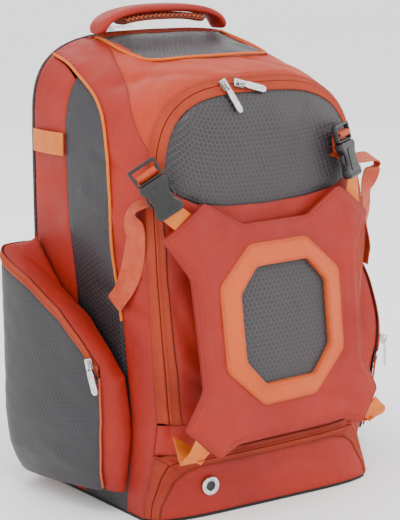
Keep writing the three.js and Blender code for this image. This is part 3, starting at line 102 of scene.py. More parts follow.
RIGHT_BULGE, BULGE_RISE, BULGE_FADE = 36.0, (20.0, 170.0), (250.0, 390.0)
ARCH_LEAN, LEAN_RISE = 8.0, (370.0, 480.0)
BOTTOM_SWING, SWING_HEIGHT = 30.0, 210.0


def ramp(z, low, high):
    t = np.clip((z - low) / (high - low), 0, 1)
    return t * t * (3 - 2 * t)


def front_share(p):
    return np.clip((BACK_Y - p[..., 1]) / DEPTH, 0, 1)


def sideways(p):
    """The filled right half stands out at mid height, and the arch leans to the left, most at the front."""
    side, front, z = np.clip(p[..., 0] / HALF, 0, 1), front_share(p), p[..., 2]
    bulge = RIGHT_BULGE * side ** 2 * front * ramp(z, *BULGE_RISE) * (1 - ramp(z, *BULGE_FADE))
    return bulge - ARCH_LEAN * front ** 2 * ramp(z, *LEAN_RISE)


def swing(p):
    """The filled front of the shoe compartment pushes forward and to the right near the floor."""
    side = np.clip((p[..., 0] + HALF) / (2 * HALF), 0, 1)
    forward = BOTTOM_SWING * side * np.clip(1 - p[..., 2] / SWING_HEIGHT, 0, 1) ** 1.5 * front_share(p)
    p[..., 0] += sideways(p)
    p[..., 1] -= forward
    return p


def plain_skin(s, u):
    s, u = np.broadcast_arrays(np.asarray(s, float), np.asarray(u, float))
    left = np.where(s <= 2, s, 4 - s)
    b, k, z = contour("back", left), contour("corner", left), contour("zip", left)
    turn = 1 - (1 - np.clip(u, 0, 1) ** CORNER_POWER) ** (1 / CORNER_POWER)
    p = b + (k - b) * u[..., None] + (z - k) * turn[..., None]
    p[..., 0] = np.where(s > 2, -p[..., 0], p[..., 0])
    return p


def skin(s, u):
    s, u = np.broadcast_arrays(np.asarray(s, float), np.asarray(u, float))
    left = np.where(s <= 2, s, 4 - s)
    p = plain_skin(s, u)
    away = p * np.array([1.0, 0.0, 1.0]) - np.array([0, 0, 0.6 * HEIGHT])
    away = unit(away)
    for d in DENTS:
        a, b = (left - d["s"]) / d["s_spread"], (u - d["u"]) / d["u_spread"]
        p = p + away * (d["push"] * np.exp(-a * a - b * b))[..., None]
    return swing(p)


def skin_normal(s, u):
    h = 0.01
    u = np.asarray(u, float)
    ds = skin(s + h, u) - skin(s - h, u)
    du = skin(s, np.minimum(u + h, 1)) - skin(s, np.maximum(u - h, 0))
    n = unit(np.cross(ds, du))
    away = skin(s, u) - np.array([0, 0, HEIGHT / 2])
    return np.where((n * away).sum(-1, keepdims=True) < 0, -n, n)


def bisect(f, target, low, high):
    low, high = np.broadcast_arrays(np.asarray(low, float), np.asarray(high, float))
    up = f(high) > f(low)
    for _ in range(34):
        m = (low + high) / 2
        go = (f(m) < target) == up
        low, high = np.where(go, m, low), np.where(go, high, m)
    return (low + high) / 2


def s_at_height(u, z):
    u, z = np.broadcast_arrays(np.asarray(u, float), np.asarray(z, float))
    return bisect(lambda s: plain_skin(s, u)[..., 2], z, np.zeros(u.shape), np.full(u.shape, 2.0))


def s_at_across(u, x):
    u, x = np.broadcast_arrays(np.asarray(u, float), np.asarray(x, float))
    return bisect(lambda s: plain_skin(s, u)[..., 0], -x, np.ones(u.shape), np.full(u.shape, 2.0))


def side_spot(depth, height):
    return np.array([float(s_at_height(depth, height * HEIGHT)), depth])


def top_spot(across, depth):
    return np.array([float(s_at_across(depth, across * HALF)), depth])


S_LENGTH = 260.0


def smooth_line(points, closed=False, per=40):
    """Points along a centripetal Catmull-Rom curve through the given points, evenly spaced by fraction."""
    p = np.asarray(points, float)
    if closed:
        p = np.concatenate([p[-1:], p, p[:2]])
    else:
        p = np.concatenate([2 * p[:1] - p[1:2], p, 2 * p[-1:] - p[-2:-1]])
    out = []
    for i in range(1, len(p) - 2):
        p0, p1, p2, p3 = p[i - 1:i + 3]
        d0, d1, d2 = [max(np.linalg.norm(b - a) ** 0.5, 1e-4) for a, b in ((p0, p1), (p1, p2), (p2, p3))]
        t1 = ((p1 - p0) / d0 - (p2 - p0) / (d0 + d1) + (p2 - p1) / d1) * d1
        t2 = ((p2 - p1) / d1 - (p3 - p1) / (d1 + d2) + (p3 - p2) / d2) * d1
        t = np.linspace(0, 1, per, endpoint=False)[:, None]
        out.append(p1 + t1 * t + (3 * (p2 - p1) - 2 * t1 - t2) * t ** 2 + (2 * (p1 - p2) + t1 + t2) * t ** 3)
    if not closed:
        out.append(p[-2:-1])
    return np.concatenate(out)


def along_line(line, t):
    """Points at fractions t of the length of a polyline."""
    step = np.linalg.norm(np.diff(line, axis=0), axis=1)
    way = np.concatenate([[0], np.cumsum(step)]) / step.sum()
    t = np.clip(np.asarray(t, float), 0, 1)
    return np.stack([np.interp(t, way, line[:, k]) for k in range(line.shape[1])], -1)


def spot_curve(spots):
    scale = np.array([S_LENGTH, DEPTH])
    line = smooth_line(np.array(spots) * scale)
    return lambda t: along_line(line, t) / scale


def chain(f, g, at):
    return lambda t: np.where((np.asarray(t) < at)[..., None], f(np.asarray(t) / at), g((np.asarray(t) - at) / (1 - at)))


def mirrored(f):
    return lambda t: f(t) * np.array([-1, 1]) + np.array([4, 0])


def straight(a, b):
    return lambda t: lerp(a, b, np.asarray(t, float)[..., None])


def pair(f, g):
    """A curve from two functions of its way, stacked into points of a plane."""
    return lambda t: np.stack(np.broadcast_arrays(f(np.asarray(t, float)), g(np.asarray(t, float))), -1)


def blend(c0, c1, d0, d1):
    p00, p10, p01, p11 = c0(0.0), c0(1.0), c1(0.0), c1(1.0)

    def at(a, b):
        aa, bb = a[..., None], b[..., None]
        corners = lerp(lerp(p00, p10, aa), lerp(p01, p11, aa), bb)
        return lerp(c0(a), c1(a), bb) + lerp(d0(b), d1(b), aa) - corners

    return at


SIDE_PIPING = [
    (0.824, 0.0075), (0.813, 0.165), (0.791, 0.339), (0.759, 0.488), (0.727, 0.574), (0.711, 0.68), (0.679, 0.781),
    (0.604, 0.847), (0.508, 0.88), (0.396, 0.903), (0.289, 0.921), (0.166, 0.94), (0, 0.957),
]
WEDGE_TIP = 10
WEDGE_REAR = [
    (0.439, 0.0075), (0.417, 0.31), (0.374, 0.506), (0.348, 0.591), (0.321, 0.698), (0.305, 0.785), (0.3, 0.86),
    (0.292, 0.912),
]
HOOD_SEAM = [(0.965, 0.79), (0.898, 0.815), (0.663, 0.903), (0.433, 0.948), (0.203, 0.977)]
TOP_BORDER = [
    (0.588, 0), (0.535, 0.09), (0.542, 0.315), (0.529, 0.481), (0.497, 0.561), (0.412, 0.62), (0.17, 0.658), (0, 0.663),
]
TOP_CORNER = 4
ZIP_EDGE = 0.965
TOP_ZIP = (0.022, 0.078)


def floor_spot(u):
    return np.stack(np.broadcast_arrays(s_at_height(u, FLOOR_Z), u), -1)


wedge_rear = spot_curve([floor_spot(WEDGE_REAR[0][0])] + [side_spot(*r) for r in WEDGE_REAR[1:]])
piping_to_tip = spot_curve([floor_spot(SIDE_PIPING[0][0])] + [side_spot(*r) for r in SIDE_PIPING[1:WEDGE_TIP + 1]])
piping_from_tip = spot_curve([side_spot(*r) for r in SIDE_PIPING[WEDGE_TIP:]])
top_border = [top_spot(*r) for r in TOP_BORDER]
hood_seam = spot_curve([side_spot(*r) for r in HOOD_SEAM] + [top_border[0]])
zip_junction = hood_seam(0.0)
whole_border = spot_curve(top_border + [p * np.array([-1, 1]) + np.array([4, 0]) for p in top_border[-2::-1]])
back_top = piping_from_tip(1.0)


def zip_edge(a, b):
    return pair(lambda t: lerp(a, b, t), lambda t: np.full_like(t, ZIP_EDGE))


strip_shift = wedge_rear(1.0) - piping_from_tip(0.0)
strip = blend(
    pair(lambda t: lerp(floor_spot(0.0)[0], back_top[0], t), lambda t: t * 0),
    wedge_rear,
    lambda t: floor_spot(lerp(0.0, wedge_rear(0.0)[1], np.asarray(t, float))),
    lambda t: piping_from_tip(1 - np.asarray(t, float)) + strip_shift * np.asarray(t, float)[..., None],
)
wedge = blend(
    wedge_rear,
    piping_to_tip,
    lambda t: floor_spot(lerp(wedge_rear(0.0)[1], piping_to_tip(0.0)[1], np.asarray(t, float))),
    straight(wedge_rear(1.0), piping_to_tip(1.0)),
)
side_seam = chain(piping_to_tip, piping_from_tip, 0.75)
gusset = blend(
    side_seam,
    chain(zip_edge(floor_spot(ZIP_EDGE)[0], zip_junction[0]), hood_seam, 0.7),
    lambda t: floor_spot(lerp(side_seam(0.0)[1], ZIP_EDGE, np.asarray(t, float))),
    straight(back_top, top_border[0]),
)
hood = blend(
    whole_border,
    zip_edge(zip_junction[0], 4 - zip_junction[0]),
    lambda t: hood_seam(1 - np.asarray(t, float)),
    lambda t: hood_seam(1 - np.asarray(t, float)) * np.array([-1, 1]) + np.array([4, 0]),
)
border_way = lambda depth: float(bisect(lambda t: whole_border(t)[..., 1], depth, 0.0, 0.45))
panel_way, corner_way = border_way(TOP_ZIP[1]), border_way(TOP_BORDER[TOP_CORNER][1])
border_side = lambda t: whole_border(lerp(panel_way, corner_way, np.asarray(t, float)))
top_patch = blend(
    pair(lambda t: lerp(border_side(0.0)[0], 4 - border_side(0.0)[0], t), lambda t: np.full_like(t, TOP_ZIP[1])),
    lambda t: whole_border(lerp(corner_way, 1 - corner_way, np.asarray(t, float))),
    border_side,
    mirrored(border_side),
)
BORDER = np.array(TOP_BORDER)


def top_band(rear, front):
    def at(a, b):
        u = lerp(rear, front, b)
        s = s_at_across(u, np.interp(u, BORDER[:, 1], BORDER[:, 0]) * HALF)
        return np.stack([lerp(s, 4 - s, a), u], -1)

    return at


def on_skin(patch, side=-1):
    def at(a, b):
        p = patch(a, b)
        return skin(p[..., 0] if side < 0 else 4 - p[..., 0], p[..., 1])

    return at


# %% [markdown]
# The front lies inside the zip contour. It is crowned, has a few broad folds, and swings forward at the lower right.

# %% The front surface
FRONT_FOLDS = [(0.62, 12, 3, 0.1), (0.49, 16, -3, -0.12), (0.35, 14, 3, 0.15), (0.26, 12, -2.5, 0.05)]
POCKET_SEAM = np.array([(0, 0.661), (0.33, 0.665), (0.56, 0.676), (0.69, 0.695), (0.79, 0.72)])
ARCH_CORNER = 1.46


def reach(x, z):
    c = CONTOURS["zip"]
    spring, half = c["spring"] * HEIGHT, c["half"] * HALF
    low = np.abs(x) / (half * np.interp(z / HEIGHT, WAIST[:, 0], WAIST[:, 1]))
    rise = np.maximum(z - spring, 0) / (c["top"] * HEIGHT - spring)
    high = ((np.abs(x) / half) ** c["power"] + rise ** c["power"]) ** (1 / c["power"])
    return np.where(z <= spring, low, high)


def front_point(x, z):
    x, z = np.broadcast_arrays(np.asarray(x, float), np.asarray(z, float))
    fill = 1 - np.minimum(reach(x, z), 1) ** 6
    fold = 0
    for height, spread, push, lean in FRONT_FOLDS:
        fold = fold + push * np.exp(-((z - height * HEIGHT - lean * x) / spread) ** 2)
    y = FRONT_Y - 15 * fill - np.where(z < SEAM_HEIGHT, 0, 1) * fold * fill
    return swing(np.stack([x, y, z], -1))


def on_front(patch):
    def at(a, b):
        p = patch(a, b)
        return front_point(p[..., 0], p[..., 1])

    return at


def zip_inner(s):
    s = np.asarray(s, float)
    left = np.where(s <= 2, s, 4 - s)
    p = contour("zip", left)
    along = unit(contour("zip", np.minimum(left + 0.004, 2)) - contour("zip", np.maximum(left - 0.004, 0)))
    x = p[..., 0] + along[..., 2] * TAPE_WIDTH / 2
    z = p[..., 2] - along[..., 0] * TAPE_WIDTH / 2
    return np.stack([np.where(s <= 2, x, -x), z], -1)


zip_foot_s = float(bisect(lambda s: contour("zip", s)[..., 2], SEAM_HEIGHT, 0.0, 1.0))
seam_left_z = POCKET_SEAM[-1, 1] * HEIGHT
seam_s = float(bisect(lambda s: zip_inner(s)[..., 1], seam_left_z, 0.5, 1.5))
seam_x = abs(float(zip_inner(seam_s)[0]))


def seam_line(t):
    across = lerp(-1.0, 1.0, np.asarray(t, float))
    z = np.interp(np.abs(across) * POCKET_SEAM[-1, 0], POCKET_SEAM[:, 0], POCKET_SEAM[:, 1]) * HEIGHT
    return np.stack([across * seam_x, z], -1)


upper_patch = blend(
    seam_line,
    lambda t: zip_inner(lerp(ARCH_CORNER, 4 - ARCH_CORNER, np.asarray(t, float))),
    lambda t: zip_inner(lerp(seam_s, ARCH_CORNER, np.asarray(t, float))),
    lambda t: zip_inner(4 - lerp(seam_s, ARCH_CORNER, np.asarray(t, float))),
)
foot_x = float(zip_inner(zip_foot_s)[0])
lower_side = lambda t: zip_inner(lerp(zip_foot_s, seam_s, np.asarray(t, float)))[..., 0]
lower_patch = blend(
    pair(lambda t: lerp(foot_x, -foot_x, t), lambda t: np.full_like(t, SEAM_HEIGHT)),
    seam_line,
    pair(lower_side, lambda t: lerp(SEAM_HEIGHT, seam_left_z, t)),
    pair(lambda t: -lower_side(t), lambda t: lerp(SEAM_HEIGHT, seam_left_z, t)),
)

band_top_s = float(bisect(lambda s: skin(s, ZIP_EDGE)[..., 2], SEAM_HEIGHT, 0.0, 1.0))
band_foot_s = float(bisect(lambda s: skin(s, ZIP_EDGE)[..., 2], BAND_FOOT, 0.0, 1.0))
floor_s = float(floor_spot(ZIP_EDGE)[0])
band_foot_x = abs(float(skin(band_foot_s, ZIP_EDGE)[0]))


def lower_band(a, b):
    s = lerp(band_top_s, band_foot_s, b)
    edge, far = skin(s, ZIP_EDGE), skin(4 - s, ZIP_EDGE)
    mid = front_point(lerp(edge[..., 0], far[..., 0], a), edge[..., 2])
    near = np.clip(np.minimum(a, 1 - a) * 30, 0, 1)[..., None]
    return lerp(np.where((a < 0.5)[..., None], edge, far), mid, near)


DOOR_SPLIT = 0.24
DOOR_EDGE = np.array([
    (0, 0.845, 0.062), (0.09, 0.83, 0.3), (0.18, 0.74, 0.75), (0.24, 0.65, 0.93), (0.3, 0.54, 1), (0.5, 0, 0.98),
])


def door_outer(t):
    t = np.asarray(t, float)
    way = np.minimum(t, 1 - t)
    s = lerp(floor_s, band_foot_s, np.clip(way / DOOR_SPLIT, 0, 1))
    side = skin(np.where(t < 0.5, s, 4 - s), ZIP_EDGE)
    x = lerp(-1.0, 1.0, np.clip((t - DOOR_SPLIT) / (1 - 2 * DOOR_SPLIT), 0, 1)) * band_foot_x
    return np.where((way < DOOR_SPLIT)[..., None], side, front_point(x, BAND_FOOT))


def door_inner(t):
    t = np.asarray(t, float)
    way = np.minimum(t, 1 - t)
    x = np.interp(way, DOOR_EDGE[:, 0], DOOR_EDGE[:, 1]) * HALF * np.where(t <= 0.5, -1, 1)
    z = np.maximum(np.interp(way, DOOR_EDGE[:, 0], DOOR_EDGE[:, 2]) * DOOR_HEIGHT, FLOOR_Z)
    return np.stack([x, z], -1)


DOOR_CORNER = 0.2
door_foot = door_inner(0.0)
door_patch = blend(
    pair(lambda t: lerp(door_foot[0], -door_foot[0], t), lambda t: np.full_like(t, FLOOR_Z)),
    lambda t: door_inner(lerp(DOOR_CORNER, 1 - DOOR_CORNER, np.asarray(t, float))),
    lambda t: door_inner(lerp(0.0, DOOR_CORNER, np.asarray(t, float))),
    lambda t: door_inner(lerp(1.0, 1 - DOOR_CORNER, np.asarray(t, float))),
)

# %% [markdown]
# Materials are procedural. Cloth reads a UV map laid out in metres, so the weave has its real size, and a
# vertex attribute that says how near a seam is: there the colour is darkened as painted shade.

# %% Materials


class Nodes:
    """A small helper that adds shader nodes and links them."""

    def __init__(self, name):
        self.material = bpy.data.materials.new(name)
        self.material.use_nodes = True
        self.tree = self.material.node_tree
        self.shader = self.tree.nodes["Principled BSDF"]

    def add(self, kind, **settings):
        node = self.tree.nodes.new(kind)
        for key, value in settings.items():
            setattr(node, key, value)
        return node

    def put(self, socket, value):
        if isinstance(value, bpy.types.NodeSocket):
            self.tree.links.new(value, socket)
        else:
            socket.default_value = value

    def math(self, operation, a, b=0.0, clamp=False):
        node = self.add("ShaderNodeMath", operation=operation, use_clamp=clamp)
        self.put(node.inputs[0], a)
        self.put(node.inputs[1], b)
        return node.outputs[0]

    def vector(self, operation, a, b=(0, 0, 0), scale=None):
        node = self.add("ShaderNodeVectorMath", operation=operation)
        self.put(node.inputs[0], a)
        self.put(node.inputs[1], b)
        if scale is not None:
            node.inputs["Scale"].default_value = scale
        return node.outputs["Value"] if operation in ("DOT_PRODUCT", "LENGTH") else node.outputs["Vector"]

    def uv(self):
        return self.add("ShaderNodeUVMap", uv_map="metres").outputs[0]

    def place(self):
        return self.add("ShaderNodeTexCoord").outputs["Object"]

    def noise(self, where, scale, detail=3.0):
        node = self.add("ShaderNodeTexNoise")
        self.put(node.inputs["Vector"], where)
        node.inputs["Scale"].default_value = scale
        node.inputs["Detail"].default_value = detail
        return node.outputs[0]

    def stretch(self, value, low, high, to_low=0.0, to_high=1.0):
        node = self.add("ShaderNodeMapRange")
        self.put(node.inputs["Value"], value)
        for key, v in zip(("From Min", "From Max", "To Min", "To Max"), (low, high, to_low, to_high)):
            node.inputs[key].default_value = v
        return node.outputs[0]

    def mix(self, factor, a, b):
        node = self.add("ShaderNodeMix", data_type="RGBA")
        self.put(node.inputs["Factor"], factor)
        self.put(node.inputs["A"], a)
        self.put(node.inputs["B"], b)
        return node.outputs["Result"]

    def bump(self, height, distance, strength=1.0, normal=None):
        node = self.add("ShaderNodeBump")
        self.put(node.inputs["Height"], height)
        node.inputs["Distance"].default_value = distance
        node.inputs["Strength"].default_value = strength
        if normal is not None:
            self.put(node.inputs["Normal"], normal)
        return node.outputs[0]

    # The seam attribute holds painted shade: how strongly the cloth colour is darkened near a seam.
    def seam(self):
        return self.add("ShaderNodeAttribute", attribute_name="seam").outputs["Fac"]


def srgb(r, g, b):
    def linear(v):
        return v / 255 / 12.92 if v / 255 <= 0.04045 else ((v / 255 + 0.055) / 1.055) ** 2.4

    return tuple(linear(v) for v in (r, g, b)) + (1.0,)


DYE_SHARE = 0.62


def dye(r, g, b):
    """Cloth colours, darkened because the studio is bright."""
    return tuple(DYE_SHARE * v for v in srgb(r, g, b)[:3]) + (1.0,)


def wave(n, where, axis, period):
    """Sine bands of the given period in metres, 0 to 1."""
    split = n.add("ShaderNodeSeparateXYZ")
    n.put(split.inputs[0], where)
    turn = n.math("MULTIPLY", split.outputs[axis], 2 * math.pi / period)
    return n.math("MULTIPLY_ADD", n.math("SINE", turn), 0.5)


def sheen(n, weight, roughness, tint):
    n.shader.inputs["Sheen Weight"].default_value = weight
    n.shader.inputs["Sheen Roughness"].default_value = roughness
    n.shader.inputs["Sheen Tint"].default_value = tint


def woven(name, base, shade, light, weave=0.0009, rough=0.58, weight=0.12, depth=0.00006):
    """Plain woven polyester: crossing threads and a little uneven dye."""
    n = Nodes(name)
    threads = n.math("MULTIPLY", wave(n, n.uv(), 0, weave), wave(n, n.uv(), 1, weave))
    broad = n.stretch(n.noise(n.place(), 9, 2), 0.35, 0.65)
    colour = n.mix(broad, shade, base)
    fine = n.stretch(n.noise(n.place(), 160, 4), 0.4, 0.75, 0, 0.18)
    colour = n.mix(fine, colour, light)
    # Painted shade: near the seams the colour is darkened towards 0.4 of the base.
    colour = n.mix(n.math("MULTIPLY", n.seam(), 0.35), colour, tuple(0.4 * v for v in base[:3]) + (1.0,))
    n.put(n.shader.inputs["Base Color"], colour)
    n.put(n.shader.inputs["Roughness"], n.stretch(n.noise(n.place(), 40, 3), 0.3, 0.7, rough - 0.08, rough + 0.1))
    soft = n.bump(n.noise(n.place(), 55, 4), 0.0012, 0.35)
    n.put(n.shader.inputs["Normal"], n.bump(threads, depth, 0.6, soft))
    sheen(n, weight, 0.4, light)
    n.shader.inputs["Specular IOR Level"].default_value = 0.35
    return n.material


def honeycomb(name, base, line, light, cell=0.0054, rough=0.5):
    """Ripstop with a raised honeycomb: the distance to the nearest hexagon edge lights the threads."""
    n = Nodes(name)
    p = n.vector("SCALE", n.uv(), scale=1 / cell)
    size = (1.0, 1.7320508, 1.0)
    half = (0.5, 0.8660254, 0.0)
    a = n.vector("SUBTRACT", n.vector("MODULO", n.vector("ADD", p, (1000, 1732.0508, 0)), size), half)
    shifted = n.vector("ADD", p, (1000.5, 1732.9168254, 0))
    b = n.vector("SUBTRACT", n.vector("MODULO", shifted, size), half)
    flat = (1.0, 1.0, 0.0)
    a, b = n.vector("MULTIPLY", a, flat), n.vector("MULTIPLY", b, flat)
    nearer = n.math("LESS_THAN", n.vector("LENGTH", a), n.vector("LENGTH", b))
    pick = n.add("ShaderNodeMix", data_type="VECTOR")
    n.put(pick.inputs["Factor"], nearer)
    n.put(pick.inputs[4], b)
    n.put(pick.inputs[5], a)
    gv = n.vector("ABSOLUTE", pick.outputs[1])
    split = n.add("ShaderNodeSeparateXYZ")
    n.put(split.inputs[0], gv)
    slant = n.vector("DOT_PRODUCT", gv, (0.5, 0.8660254, 0))
    edge = n.math("SUBTRACT", 0.5, n.math("MAXIMUM", split.outputs[0], slant))
    thread = n.stretch(edge, 0.02, 0.14, 1, 0)
    broad = n.stretch(n.noise(n.place(), 10, 2), 0.35, 0.65, 0, 0.5)
    colour = n.mix(broad, base, light)
    colour = n.mix(n.math("MULTIPLY", thread, 0.45), colour, line)
    # Painted shade: near the seams the colour is darkened towards 0.35 of the base.
    colour = n.mix(n.math("MULTIPLY", n.seam(), 0.5), colour, tuple(0.35 * v for v in base[:3]) + (1.0,))
    n.put(n.shader.inputs["Base Color"], colour)
    n.put(n.shader.inputs["Roughness"], n.stretch(thread, 0, 1, rough, rough + 0.12))
    soft = n.bump(n.noise(n.place(), 60, 3), 0.001, 0.3)
    n.put(n.shader.inputs["Normal"], n.bump(thread, 0.0003, 0.8, soft))
    sheen(n, 0.12, 0.35, light)
    return n.material


def ribbed(name, base, shade, light, rib=0.0014):
    """Webbing: ribs along its length, crossed by the weft."""
    n = Nodes(name)
    ribs = wave(n, n.uv(), 1, rib)
    weft = wave(n, n.uv(), 0, rib * 0.8)
    height = n.math("MULTIPLY_ADD", ribs, 0.75, )
    n.put(height.node.inputs[2], n.math("MULTIPLY", weft, 0.25))
    # Painted shade: the low parts of the ribs and weft take the darker shade colour.
    colour = n.mix(n.stretch(height, 0.1, 0.8), shade, base)
    colour = n.mix(n.stretch(n.noise(n.place(), 90, 3), 0.4, 0.7, 0, 0.35), colour, light)
    n.put(n.shader.inputs["Base Color"], colour)
    n.shader.inputs["Roughness"].default_value = 0.6
    n.put(n.shader.inputs["Normal"], n.bump(height, 0.00025, 0.7))
    sheen(n, 0.1, 0.4, light)
    return n.material


def air_mesh(name, base, hole_shade, light, cell=0.0046, share=0.27):
    """Spacer mesh: rows of oval holes, painted dark as the shade inside them."""
    n = Nodes(name)
    p = n.vector("MULTIPLY", n.uv(), (1 / cell, 1 / (cell * 1.35), 0))
    size = (1.0, 1.0, 1.0)
    a = n.vector("SUBTRACT", n.vector("MODULO", n.vector("ADD", p, (1000, 1000, 0)), size), (0.5, 0.5, 0))
    b = n.vector("SUBTRACT", n.vector("MODULO", n.vector("ADD", p, (1000.5, 1000.5, 0)), size), (0.5, 0.5, 0))
    near = n.math("MINIMUM", n.vector("LENGTH", n.vector("MULTIPLY", a, (1, 1, 0))),
                  n.vector("LENGTH", n.vector("MULTIPLY", b, (1, 1, 0))))
    open_ = n.stretch(near, share - 0.08, share, 1, 0)
    colour = n.mix(n.stretch(n.noise(n.place(), 70, 3), 0.35, 0.65), base, light)
    # Painted shade: the holes take the dark hole colour.
    n.put(n.shader.inputs["Base Color"], n.mix(open_, colour, hole_shade))
    n.shader.inputs["Roughness"].default_value = 0.75
    n.put(n.shader.inputs["Normal"], n.bump(n.math("SUBTRACT", 1.0, open_), 0.001, 1.0))
    sheen(n, 0.12, 0.4, light)
    return n.material


def plastic(name, base, light):
    n = Nodes(name)
    n.put(n.shader.inputs["Base Color"], n.mix(n.stretch(n.noise(n.place(), 60, 3), 0.4, 0.7), base, light))
    n.put(n.shader.inputs["Roughness"], n.stretch(n.noise(n.place(), 200, 3), 0.3, 0.7, 0.3, 0.45))
    n.put(n.shader.inputs["Normal"], n.bump(n.noise(n.place(), 900, 2), 0.00004, 0.5))
    n.shader.inputs["Coat Weight"].default_value = 0.15
    return n.material


def metal(name, base, shade):
    n = Nodes(name)
    n.put(n.shader.inputs["Base Color"], n.mix(n.stretch(n.noise(n.place(), 250, 3), 0.35, 0.7), base, shade))
    n.put(n.shader.inputs["Roughness"], n.stretch(n.noise(n.place(), 400, 4), 0.3, 0.7, 0.16, 0.34))
    n.put(n.shader.inputs["Normal"], n.bump(n.noise(n.place(), 700, 3), 0.00004, 0.5))
    n.shader.inputs["Metallic"].default_value = 1.0
    return n.material


RED = woven("red_cloth", dye(192, 40, 20), dye(168, 30, 18), dye(222, 66, 34))
HOOD_RED = woven("hood_cloth", dye(216, 62, 20), dye(190, 46, 18), dye(240, 104, 44), weight=0.35)
FLAP_RED = woven("flap_cloth", dye(186, 40, 24), dye(168, 32, 22), dye(206, 62, 38), weave=0.0012)
RING = woven("ring_cloth", dye(244, 104, 38), dye(232, 88, 32), dye(255, 140, 66), weave=0.0012)
CHARCOAL = honeycomb("charcoal_cloth", dye(48, 43, 47), dye(104, 96, 100), dye(60, 54, 58), rough=0.4)
# Painted shade: the charcoal of the sides is the front's charcoal darkened to about 0.72.
SHADED_SIDE_CHARCOAL = honeycomb("charcoal_side_shaded", dye(34, 31, 35), dye(76, 71, 77), dye(44, 40, 45), rough=0.42)
# The second colour of each mesh is painted shade for its holes.
PAD = air_mesh("dark_mesh", dye(60, 30, 32), dye(24, 14, 16), dye(80, 42, 42), cell=0.005, share=0.3)
BRIGHT = ribbed("bright_webbing", dye(255, 132, 8), dye(236, 96, 6), dye(255, 164, 40))
PIPING = woven("bright_piping", dye(255, 126, 12), dye(240, 100, 8), dye(255, 160, 48), weave=0.0007)
STRAP = ribbed("orange_webbing", dye(224, 76, 22), dye(190, 54, 16), dye(244, 120, 50))
MESH = air_mesh("handle_mesh", dye(222, 78, 24), dye(60, 18, 12), dye(240, 108, 46), cell=0.0058, share=0.3)
TAPE = woven("zip_tape", dye(196, 66, 26), dye(172, 52, 22), dye(222, 96, 46), weave=0.0008, rough=0.7)
SHOE_TAPE = woven("shoe_zip_tape", dye(184, 56, 24), dye(160, 44, 20), dye(206, 78, 38), weave=0.0008, rough=0.7)
# Painted shade: the slit between the zip tapes is coloured as a darkened copy of the tape.
SLIT_SHADE = woven("zip_slit_shade", dye(76, 20, 14), dye(58, 16, 12), dye(98, 30, 20), weave=0.0008)
THREAD = woven("thread", dye(232, 92, 46), dye(214, 74, 36), dye(248, 132, 80), weave=0.0006)
DARK_THREAD = woven("dark_thread", dye(124, 26, 18), dye(104, 20, 16), dye(150, 44, 32), weave=0.0006)
BLACK = plastic("black_plastic", srgb(14, 14, 15), srgb(24, 24, 25))
METAL = metal("bright_metal", srgb(214, 214, 210), srgb(180, 182, 184))

# %% [markdown]
# Every panel is a closed wall of cloth: a fine grid on the surface, moved by seam puckers, small ripples
# and the single creases of the table, then a second grid behind it.

# %% Cloth panels
rng = np.random.default_rng(7)
WAVES = [(unit(rng.normal(size=3)), rng.uniform(0.7, 1.5), rng.uniform(0, 2 * math.pi)) for _ in range(9)]


def ripples(p, length, seed=0):
    """A smooth uneven field from -1 to 1 with about the given wave length in millimetres."""
    total = np.zeros(p.shape[:-1])
    for i, (direction, rate, phase) in enumerate(WAVES):
        d = np.roll(direction, (i + seed) % 3)
        wander = 1.7 * np.sin((p @ np.roll(d, 1)) * 2 / length)
        total += np.sin((p @ d) * rate * 2 * math.pi / length + phase * (1 + seed) + wander)
    return total / len(WAVES) * 2


# Creases placed by judgement where sewn cloth of this kind folds, not traced from the photo: from one end
# to the other, with their width and push in millimetres.
CREASES = [
    ((-118, -100, 342), (-112, -102, 410), 7, -2.6), ((-100, -104, 340), (-92, -104, 420), 9, 1.8),
    ((20, -104, 352), (48, -104, 410), 10, -1.6), ((78, -104, 345), (96, -100, 400), 8, -2.0),
    ((-128, -40, 400), (-84, -92, 426), 9, -3.0), ((-112, -20, 440), (-60, -80, 452), 8, -2.6),
    ((-90, 10, 470), (-20, -60, 468), 11, 2.2), ((10, -10, 476), (70, -82, 440), 10, -2.8),
    ((60, 10, 472), (118, -60, 400), 9, 2.4), ((96, -20, 440), (124, -84, 380), 8, -2.6),
    ((-146, -20, 372), (-132, -92, 338), 7, -2.6), ((-150, 0, 330), (-136, -94, 290), 9, 2.4),
    ((-152, -30, 292), (-138, -96, 246), 7, -2.8), ((-150, -20, 236), (-134, -96, 208), 8, -2.2),
    ((-96, -108, 152), (-20, -116, 112), 7, -2.4), ((-60, -110, 128), (30, -120, 92), 8, 2.2),
    ((30, -112, 150), (100, -114, 98), 7, -2.6), ((70, -110, 200), (128, -104, 150), 8, -2.4),
    ((-110, -106, 230), (-84, -108, 170), 8, -2.2), ((92, -106, 262), (124, -100, 214), 7, 2.2),
    ((-100, -112, 44), (-20, -124, 24), 6, -1.8), ((10, -126, 50), (100, -130, 22), 7, -2.0),
    ((-30, -128, 28), (60, -130, 44), 8, 1.6),
    ((-70, -150, 250), (-112, -150, 262), 7, -1.6), ((-60, -156, 130), (-98, -156, 112), 7, -1.6),
    ((60, -150, 262), (104, -150, 250), 7, -1.8), ((44, -158, 116), (92, -158, 102), 6, -1.6),
    ((172, -40, 110), (210, -84, 84), 8, -2.4), ((-188, -20, 130), (-176, -70, 96), 9, -2.2),
    ((-190, 30, 70), (-184, -40, 50), 8, 2.0), ((186, -80, 60), (214, -60, 44), 7, -2.0),
]


def crease_push(p):
    total = np.zeros(p.shape[:-1])
    for start, end, width, push in CREASES:
        a, b = np.array(start, float), np.array(end, float)
        t = np.clip(((p - a) @ (b - a)) / ((b - a) @ (b - a)), 0, 1)
        d = np.linalg.norm(p - (a + t[..., None] * (b - a)), axis=-1)
        total += push * np.exp(-(d / width) ** 2) * np.clip(1.25 - np.abs(t - 0.5) * 1.2, 0, 1)
    return total


